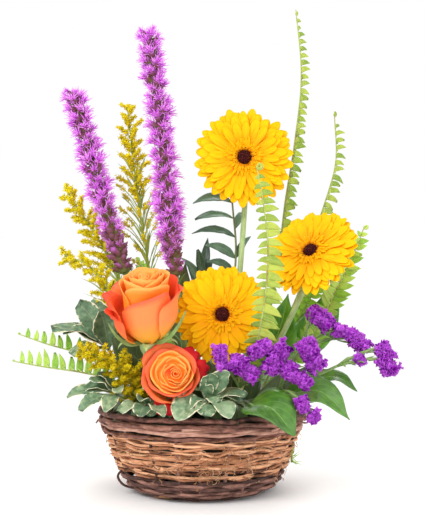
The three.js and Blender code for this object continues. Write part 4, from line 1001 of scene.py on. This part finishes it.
# A lighter lime copy of the fern skin: partly the fresher green of these fronds and partly painted light,
# as they lie in shade and face away from the lamps. The stray sprig uses it for its own lime green.
lime_skin_with_painted_light = leaf_skin("lime_fern_leaflet_skin_with_painted_light", "#86b83c", "#b8da62", "#d0e68c", 0.5, 9, glow=0.3)
fern_rib = fresh_stem("fern_rib_with_scales", "#8a6a3a", "#b6c472")
for name, path, face, pairs, bare, reach, fold, lift, near, plump, curl_size, skin in (
        ("tall", [(24, 20, 40), (34, 22, 96), (70, 24, 199), (82, 26, 250), (89, 25, 305), (99, 24, 370),
         (105, 20, 437), (99, 20, 506)],
         (1, -0.4, 0), 42, 0.34, 0.016, 0.6, -0.05, 0.9, 0.12, 0.002, fern_skin),
        ("middle", [(38, 10, 40), (52, 12, 96), (102, 16, 205), (123, 16, 279), (141, 15, 342),
         (140, 15, 394)], (1, -0.4, -0.3), 28, 0.42, 0.0235, 0.45, 0.0, 0.9, 0.07, 0.0024, fern_skin),
        ("front", [(24, -30, 40), (36, -54, 96), (58, -80, 178), (66, -86, 247), (62, -83, 300),
         (55, -80, 341)], (0.15, -1, 0.1), 25, 0.34, 0.02, 0.3, -0.15, 0.7, 0.14, 0.0032, fern_skin),
        ("right", [(52, 2, 40), (74, 3, 98), (108, 0, 149), (138, 0, 204), (160, 2, 250), (171, 2, 278)],
         (-0.2, -1, 0.1), 22, 0.38, 0.018, 0.25, 0.35, 0.9, 0.16, 0.0022, lime_skin_with_painted_light),
        ("inner", [(46, 20, 40), (62, 23, 96), (98, 26, 168), (122, 28, 210), (138, 30, 238)], (0, -1, 0.1),
         16, 0.42, 0.016, 0.3, 0.35, 1, 0.16, 0.0022, lime_skin_with_painted_light),
        ("left_upper", [(-56, -22, 60), (-76, -28, 98), (-98, -36, 129), (-122, -40, 147), (-160, -42, 159),
         (-188, -42, 169)], (0, -0.5, 1), 13, 0.36, 0.0165, 0.85, 0.2, 0.6, 0.11, 0.0012, lime_skin_with_painted_light),
        ("left_lower", [(-46, -28, 55), (-68, -38, 92), (-94, -52, 122), (-120, -57, 131), (-160, -57, 137),
         (-192, -57, 143)], (0, -0.5, 1), 14, 0.36, 0.0215, 0.95, 0.1, 0.6, 0.095, 0.0012, lime_skin_with_painted_light),
        ("back", [(-8, 34, 40), (-14, 48, 96), (-34, 76, 150), (-56, 92, 200), (-72, 98, 240)],
         (0.4, 0.9, 0.3), 22, 0.38, 0.019, 0.1, 0.3, 1, 0.16, 0.0022, lime_skin_with_painted_light)):
    rng = random.Random(name)
    line = smooth_line(path)
    face = Vector(face).normalized()
    leaflets, ribs = new_piece(), new_piece()
    add(ribs, rod(line, lambda v: 0.0015 - 0.0009 * v, sides=7))
    for i in range(pairs):
        share = bare + (0.99 - bare) * i / pairs
        point, way = station(line, share)
        grown = (share - bare) / (1 - bare)
        full = reach * min(1, 0.6 + 2.5 * grown) * (1 - 0.45 * max(0, grown - 0.5) / 0.5)
        full *= 0.6 if grown > 0.93 else 1
        for hand in (-1, 1):
            size = full * (near if hand < 0 else 1) * rng.uniform(0.82, 1.1)
            side = way.cross(face).normalized() * hand
            up = side.cross(way) * hand
            out = (side * math.cos(fold) + up * math.sin(fold)
                + way * (lift + rng.uniform(-0.2, 0.2))).normalized()
            curl = face * size * rng.uniform(-0.12, 0.05)
            foot = point + way * 0.0006 * hand
            add(leaflets, blade([foot, foot + out * size * 0.5 + way * 0.0004,
                foot + out * size + way * size * (0.14 if lift > 0.05 else -0.1) + curl],
                size * plump * 1.15 + 0.001, leaflet_outline, up, fold=0.15, across=4, along=7))
    tip, way = station(line, 1)
    side = way.cross(face).normalized()
    crook = []
    for k in range(15):
        turn, wide = k * 0.55, curl_size * (1 - k / 22)
        crook.append(tip + side * wide * (1 - math.cos(turn))
            + way * (0.0006 * min(k, 3) + wide * math.sin(turn)))
    add(leaflets, rod(crook, lambda v: curl_size * (0.25 + 0.32 * math.sin(math.pi * v)), sides=7))
    finish_piece(leaflets, f"fern_{name}_leaflets", skin, "fern_frond", f"fern_{name}", thick=0.00035)
    finish_piece(ribs, f"fern_{name}_rib", fern_rib, "fern_frond", f"fern_{name}")


# The ruscus. Two wiry dark stems carry stiff, pointed leaves with a slight gloss, which turn their
# flat sides to the light. They stand in the middle of the foam, behind the flowers.
def leaf_outline(skew, blunt, least=0.05):
    """How wide a leaf is along its length: a skew over 1 puts its widest part nearer to the tip."""
    return lambda v: max(least, math.sin(math.pi * v ** skew)) ** blunt


ruscus_skin = leaf_skin("ruscus_leaf_skin", "#2f4c38", "#587a5e", "#7d9a7c", 0.38, 5, coat=0.25, bump=0.25)
woody_stem = fresh_stem("thin_woody_stem", "#5a4a32", "#7f8a54")
for name, path, leaves in (
        ("right", [(6, 20, 40), (12, 23, 96), (31, 25, 200), (36, 25, 250), (33, 25, 292), (30, 25, 322)],
         [(0.66, 4, 14, 243, 5.5), (0.66, 24, 48, 236, 5.5), (0.72, 52, 30, 268, 7),
          (0.72, 2, 16, 262, 5.5), (0.8, -11, 14, 275, 5.5),
          (0.83, 48, 44, 294, 5.5), (0.87, -12, 24, 290, 5.5), (0.93, -10, 14, 308, 6.5),
          (0.97, 18, 44, 332, 5.5), (0.5, 44, 46, 212, 5.5)]),
        ("left", [(-6, 20, 40), (-4, 23, 96), (-2, 26, 170), (1, 26, 226)],
         [(0.92, -23, 16, 252, 5.5), (0.97, -6, 14, 258, 5.5), (0.97, 6, 40, 268, 5.5),
          (0.88, 12, 44, 250, 5.5), (0.83, -18, 46, 240, 5.5)])):
    line = smooth_line(path)
    rng = random.Random(name)
    leaves_piece, stem = new_piece(), new_piece()
    add(stem, rod(line, lambda v: 0.0015 - 0.0006 * v, sides=7))
    for share, x, y, z, half in leaves:
        point, way = station(line, share)
        tip = Vector((x, y, z)) * MM
        tip.z -= rng.uniform(0, 0.008)
        rise = Vector((0, -0.001, rng.uniform(0.003, 0.008)))
        face = (rng.uniform(-0.5, 0.5), -0.75, rng.uniform(0.1, 0.9))
        add(leaves_piece, blade([point, point.lerp(tip, 0.25) + rise * 0.8, point.lerp(tip, 0.5) + rise,
            point.lerp(tip, 0.78) + rise * 0.6, tip], half * MM * rng.uniform(0.65, 0.95),
            leaf_outline(0.85, 0.95, least=0.04), face, fold=rng.uniform(0.1, 0.4), wave=0.0006, waves=1.5,
            across=6, along=10))
    finish_piece(leaves_piece, f"ruscus_{name}_leaves", ruscus_skin, "ruscus_leaf", f"ruscus_{name}",
        thick=0.0005)
    finish_piece(stem, f"ruscus_{name}_twig", woody_stem, "ruscus_leaf", f"ruscus_{name}")


# The pittosporum. Thin woody twigs end in whorls of soft leaves, grey-green with a cream edge that
# waves. They are cut short and pushed in at a slant, so that most of the leaves lie over the rim.
def cream_edged_skin():
    """Variegated leaf: thin satin skin, grey-green in 5 mm blotches, with a cream margin that varies."""
    finish, tree, shader = new_finish("variegated_leaf_skin", Roughness=0.5, Coat_Weight=0.08)
    u, _, drawn = part_map(tree)
    off = wire(tree, "Math", {0: wire(tree, "Math", {0: u, 1: 0.5}, operation="SUBTRACT")},
        operation="ABSOLUTE")
    spot = wire(tree, "TexCoord", out="Object")
    blotches = wire(tree, "TexNoise", {"Vector": spot, "Scale": 190.0, "Detail": 3.0})
    edge = wire(tree, "Math", {0: off, 1: wire(tree, "Math", {0: blotches, 1: 0.34}, operation="MULTIPLY")},
        operation="ADD")
    cream = wire(tree, "MapRange", {"Value": edge, "From Min": 0.612, "From Max": 0.645})
    rib = wire(tree, "MapRange", {"Value": off, "From Min": 0.006, "From Max": 0.025, "To Min": 0.2,
        "To Max": 0.0})
    tone = wire(tree, "Math", {0: blotches,
        1: wire(tree, "Math", {0: drawn, 1: 0.35}, operation="MULTIPLY")}, operation="ADD")
    green = wire(tree, "ValToRGB", {0: tone},
        stops=[(0.4, "#4a694b"), (0.65, "#6b8a66"), (0.85, "#97ad86")])
    mask = wire(tree, "Math", {0: cream, 1: rib}, operation="MAXIMUM")
    colour = wire(tree, "Mix", {"Factor": mask, "A": green, "B": linear("#ece4c0")}, out=2,
        data_type="RGBA")
    tree.links.new(colour, shader.inputs["Base Color"])
    tree.links.new(wire(tree, "Bump", {"Height": rib, "Strength": 0.3, "Distance": 0.0006}),
        shader.inputs["Normal"])
    return finish


variegated_skin = cream_edged_skin()
for name, path, tips in (
        ("left", [(-38, -10, 60), (-60, -18, 104), (-96, -34, 151)],
         [(-158, -48, 173, 10), (-132, -30, 201, 10), (-114, -18, 202, 10), (-104, -52, 194, 12),
          (-134, -66, 148, 8)]),
        ("low_left", [(-48, -46, 55), (-64, -58, 92), (-84, -68, 109)],
         [(-138, -78, 106, 8), (-122, -100, 96, 7), (-112, -84, 128, 8), (-94, -114, 100, 7)]),
        ("rim", [(-34, -52, 60), (-44, -72, 94), (-54, -86, 100)],
         [(-82, -110, 98, 7), (-60, -122, 97, 8), (-37, -119, 96, 7)]),
        ("front", [(2, -46, 55), (4, -72, 94), (6, -88, 106)],
         [(-24, -120, 93, 13), (4, -125, 96, 9), (28, -122, 95, 10), (9, -112, 138, 8), (28, -108, 138, 8),
          (46, -106, 112, 9)]),
        ("back", [(-26, 44, 55), (-34, 62, 96), (-44, 76, 112)],
         [(-92, 104, 112, 10), (-60, 122, 104, 10), (-20, 112, 116, 10), (-84, 70, 140, 10),
          (-46, 92, 156, 10)])):
    rng = random.Random(name)
    line = smooth_line(path)
    centre = line[-1]
    leaves, stem = new_piece(), new_piece()
    add(stem, rod(line, lambda v: 0.002 - 0.0007 * v, sides=7))
    for x, y, z, half in tips:
        tip = Vector((x, y, z)) * MM
        face = (0.1, -1, 0.2) if tip.z - centre.z > 0.025 else (0, -0.35, 1)
        rise = Vector((0, 0, 0.16 * (tip - centre).length))
        for side in (0, 1):
            goal = tip
            if side:
                off = Vector((rng.uniform(-1, 1), rng.uniform(-0.4, 0.6), rng.uniform(-0.3, 0.9)))
                goal = tip.lerp(centre, 0.3) + off * 0.014
            line_to = [centre, centre.lerp(goal, 0.28) + rise * 0.7, centre.lerp(goal, 0.55) + rise,
                centre.lerp(goal, 0.8) + rise * 0.6, goal]
            add(leaves, blade(line_to, half * MM * (1.2 if not side else 0.9), leaf_outline(1.5, 0.7),
                Vector(face) + Vector((rng.uniform(-0.28, 0.28), 0, rng.uniform(-0.2, 0.2))),
                fold=rng.uniform(0.08, 0.4), wave=rng.uniform(0.0008, 0.0019), waves=rng.uniform(1.2, 2.2),
                across=8, along=14))
    finish_piece(leaves, f"pittosporum_{name}_leaves", variegated_skin, "pittosporum_leaf",
        f"pittosporum_{name}", thick=0.0005)
    finish_piece(stem, f"pittosporum_{name}_twig", woody_stem, "pittosporum_leaf", f"pittosporum_{name}")


# The salal. Single leaves on their stalks, broad and leathery, with a pointed tip, a pale midrib and
# a high gloss. The old ones are olive. The middle and right_tall leaves face away from the lamps and
# get a lighter, fresher green, which is painted light.
salal_skin = leaf_skin("salal_leaf_skin", "#285614", "#5c9428", "#84b44c", 0.3, 6, coat=0.4, vary=0.2)
# A lighter copy of the salal skin, for leaves that face away from the lamps: painted light.
salal_skin_painted_light = leaf_skin("salal_leaf_skin_with_painted_light", "#3c7a1c", "#80b83c", "#a4cc66", 0.34, 6, coat=0.3,
    vary=0.2, glow=0.3)
olive_skin = leaf_skin("old_salal_leaf_skin", "#3a4f2a", "#5f7242", "#7c8c5a", 0.38, 5, coat=0.25)
for name, foot, base, middle, tip, half, face in (
        ("front", (38, -62, 70), (46, -92, 103), (69, -111, 103), (93, -126, 76), 22, (0.3, -0.6, 0.75)),
        ("right", (56, -44, 70), (86, -66, 110), (120, -74, 114), (149, -78, 86), 15, (0.1, -0.7, 0.75)),
        ("right_small", (62, -16, 70), (96, -30, 112), (136, -38, 124), (162, -42, 108), 11,
         (0.1, -0.5, 0.85)),
        ("middle", (52, -4, 80), (64, -4, 128), (82, -8, 172), (90, -14, 208), 19, (-0.1, -1, 0.15)),
        ("right_tall", (64, 12, 75), (98, 14, 140), (130, 14, 182), (141, 12, 224), 17, (-0.2, -1, 0.2)),
        ("left", (-46, -22, 75), (-61, -31, 130), (-68, -33, 165), (-74, -34, 197), 16, (0.1, -1, 0.2)),
        ("tall_back", (-14, 30, 70), (-16, 34, 140), (-20, 34, 196), (-18, 32, 240), 14, (0, -1, 0.2)),
        ("back_left", (-46, 32, 70), (-62, 54, 100), (-88, 72, 110), (-118, 84, 92), 19, (-0.2, 0.2, 1)),
        ("back", (10, 50, 70), (12, 74, 100), (14, 102, 110), (12, 132, 92), 20, (0, 0.3, 1)),
        ("back_right", (44, 40, 70), (64, 56, 100), (90, 74, 112), (116, 92, 92), 19, (0.2, 0.2, 1))):
    leaf = new_piece()
    add(leaf, blade(smooth_line([base, middle, tip]), half * 1.22 * MM,
        lambda v: max(0.03, math.sin(math.pi * v ** 0.66)) ** (0.8 if v < 0.35 else 1.2), face, fold=0.22,
        wave=0.0016, waves=1.6, across=10, along=18))
    # The middle and right_tall leaves face away from the lamps, so they take the lighter skin: painted
    # light.
    skin = {"left": olive_skin, "tall_back": olive_skin, "middle": salal_skin_painted_light,
        "right_tall": salal_skin_painted_light}.get(name, salal_skin)
    finish_piece(leaf, f"salal_{name}_leaf", skin, "salal_leaf", f"salal_{name}", thick=0.0006)
    stalk = new_piece()
    add(stalk, rod(smooth_line([foot, base, tuple(Vector(base).lerp(Vector(middle), 0.3))]),
        lambda v: 0.0016 - 0.0008 * v, sides=7))
    finish_piece(stalk, f"salal_{name}_stalk", mid_stem, "salal_leaf", f"salal_{name}")


# The tucked leaves. Short dark leaves are pushed into the foam's edge and between the stems, so that
# from any side neither the foam nor the liner's rim shows.
tucked = new_piece()
rng = random.Random(21)
for i in range(64):
    angle = 2 * math.pi * (i + rng.uniform(-0.3, 0.3)) / 64
    out = polar(1, angle, 0)
    side = Vector((-out.y, out.x, 0)) * rng.uniform(-0.012, 0.012)
    end, drop = rng.uniform(0.098, 0.11), rng.uniform(0.082, 0.094)
    line = [out * 0.056 + Vector((0, 0, 0.095)), out * 0.075 + side * 0.4 + Vector((0, 0, 0.103)),
        out * 0.092 + side + Vector((0, 0, 0.1)), out * end + side * 1.3 + Vector((0, 0, drop))]
    add(tucked, blade(line, rng.uniform(0.008, 0.012), leaf_outline(0.85, 0.8), (0, 0, 1), fold=0.15,
        wave=0.001, waves=1.5, across=4, along=8))
for i in range(34):
    angle, r = i * GOLDEN_ANGLE, 0.062 * math.sqrt((i + 0.5) / 34)
    foot = polar(r, angle, 0.094)
    lean = Vector((rng.uniform(-0.3, 0.3) + foot.x * 9, rng.uniform(-0.3, 0.3) + foot.y * 9,
        1)).normalized()
    size = rng.uniform(0.03, 0.05) if foot.y > -0.03 else rng.uniform(0.018, 0.026)
    add(tucked, blade([foot, foot + lean * size * 0.5 + Vector((0, 0, 0.004)),
        foot + lean * size + Vector((lean.x, lean.y, 0)) * 0.01], rng.uniform(0.006, 0.0095),
        leaf_outline(0.85, 0.8), (0.2 * math.sin(i), -1, 0.4), fold=0.15, across=4, along=8))
for base, middle, tip, half in (
        ((56, -50, 84), (70, -58, 108), (84, -60, 134), 12),
        ((62, -44, 88), (85, -52, 113), (107, -58, 138), 14),
        ((-66, -28, 120), (-78, -34, 152), (-91, -38, 192), 14),
        ((-52, -30, 96), (-62, -44, 122), (-70, -52, 150), 11)):
    add(tucked, blade(smooth_line([base, middle, tip]), half * MM, leaf_outline(0.7, 1, least=0.03),
        (0, -1, 0.3), fold=0.2, wave=0.0012, across=6, along=12))
finish_piece(tucked, "tucked_leaves", olive_skin, "salal_leaf", thick=0.0006)
sprig = new_piece()
for i in range(13):
    way = Vector((0.6 + 0.5 * math.cos(i * GOLDEN_ANGLE), 0.5 * math.sin(i * GOLDEN_ANGLE),
        0.8 * math.sin(i * 1.7))).normalized()
    foot = Vector((0.0925, -0.03, 0.034 + 0.0006 * i))
    add(sprig, rod([foot, foot + way * 0.005,
        foot + way * rng.uniform(0.009, 0.014) + Vector((0, 0, 0.001))], lambda v: 0.00055 * (1.2 - v),
        sides=4))
finish_piece(sprig, "stray_green_sprig", lime_skin_with_painted_light, "fern_frond")


# The floor, the light and the camera. A white floor, three broad soft lamps and a bright even sky, as
# in a product picture; the camera stands 1.5 m off, a little above the middle of the flowers.
def white_floor():
    """Matt white card with a faint 33 mm grain, which glows further out and runs into the backdrop."""
    finish, tree, shader = new_finish("matt_white_floor", Roughness=0.9, Specular_IOR_Level=0.1,
        Emission_Color=(1, 1, 1, 1))
    spot = wire(tree, "TexCoord", out="Object")
    grain = wire(tree, "TexNoise", {"Vector": spot, "Scale": 30.0})
    reach = wire(tree, "VectorMath", {0: spot}, out="Value", operation="LENGTH")
    away = wire(tree, "MapRange", {"Value": reach, "From Min": 0.2, "From Max": 0.9},
        interpolation_type="SMOOTHSTEP")
    card = wire(tree, "ValToRGB", {0: grain}, stops=[(0.0, "#fbfbfb"), (1.0, "#ffffff")])
    tree.links.new(wire(tree, "Mix", {"Factor": away, "A": card, "B": (0, 0, 0, 1)}, out=2,
        data_type="RGBA"), shader.inputs["Base Color"])
    tree.links.new(away, shader.inputs["Emission Strength"])
    return finish


floor_mesh = bpy.data.meshes.new("floor")
floor_bm = sheet(8, 8, lambda u, v: Vector((12 * u - 6, 12 * v - 6, 0)))
floor_bm.to_mesh(floor_mesh)
floor_bm.free()
floor_mesh.materials.append(white_floor())
floor = bpy.data.objects.new("floor", floor_mesh)
bpy.context.scene.collection.objects.link(floor)

world = bpy.data.worlds.new("studio")
bpy.context.scene.world = world
world.use_nodes = True
world.node_tree.nodes["Background"].inputs["Color"].default_value = (1, 1, 1, 1)
seen = wire(world.node_tree, "LightPath", out="Is Camera Ray")
bright = wire(world.node_tree, "MapRange", {"Value": seen, "To Min": 0.82, "To Max": 1.0})
world.node_tree.links.new(bright, world.node_tree.nodes["Background"].inputs["Strength"])
for name, spot, power, wide in (("key", (-0.9, -1.3, 1.4), 23, 1.0), ("fill", (1.2, -1.0, 0.9), 8, 1.4),
        ("back", (0.3, 0.75, 1.5), 9, 1.0)):
    lamp = bpy.data.lights.new(name, "AREA")
    lamp.energy = power
    lamp.size = wide
    holder = bpy.data.objects.new(name, lamp)
    holder.location = spot
    holder.rotation_euler = (Vector((0, 0, 0.22)) - Vector(spot)).to_track_quat("-Z", "Y").to_euler()
    bpy.context.scene.collection.objects.link(holder)

lens = bpy.data.cameras.new("camera")
lens.sensor_width = 36
lens.lens = 99.86
camera = bpy.data.objects.new("camera", lens)
camera.location = (0.011, -1.5, 0.330)
camera.rotation_euler = (math.radians(90 - 3.24), 0, 0)
bpy.context.scene.collection.objects.link(camera)
bpy.context.scene.camera = camera
bpy.context.scene.view_settings.view_transform = "Standard"
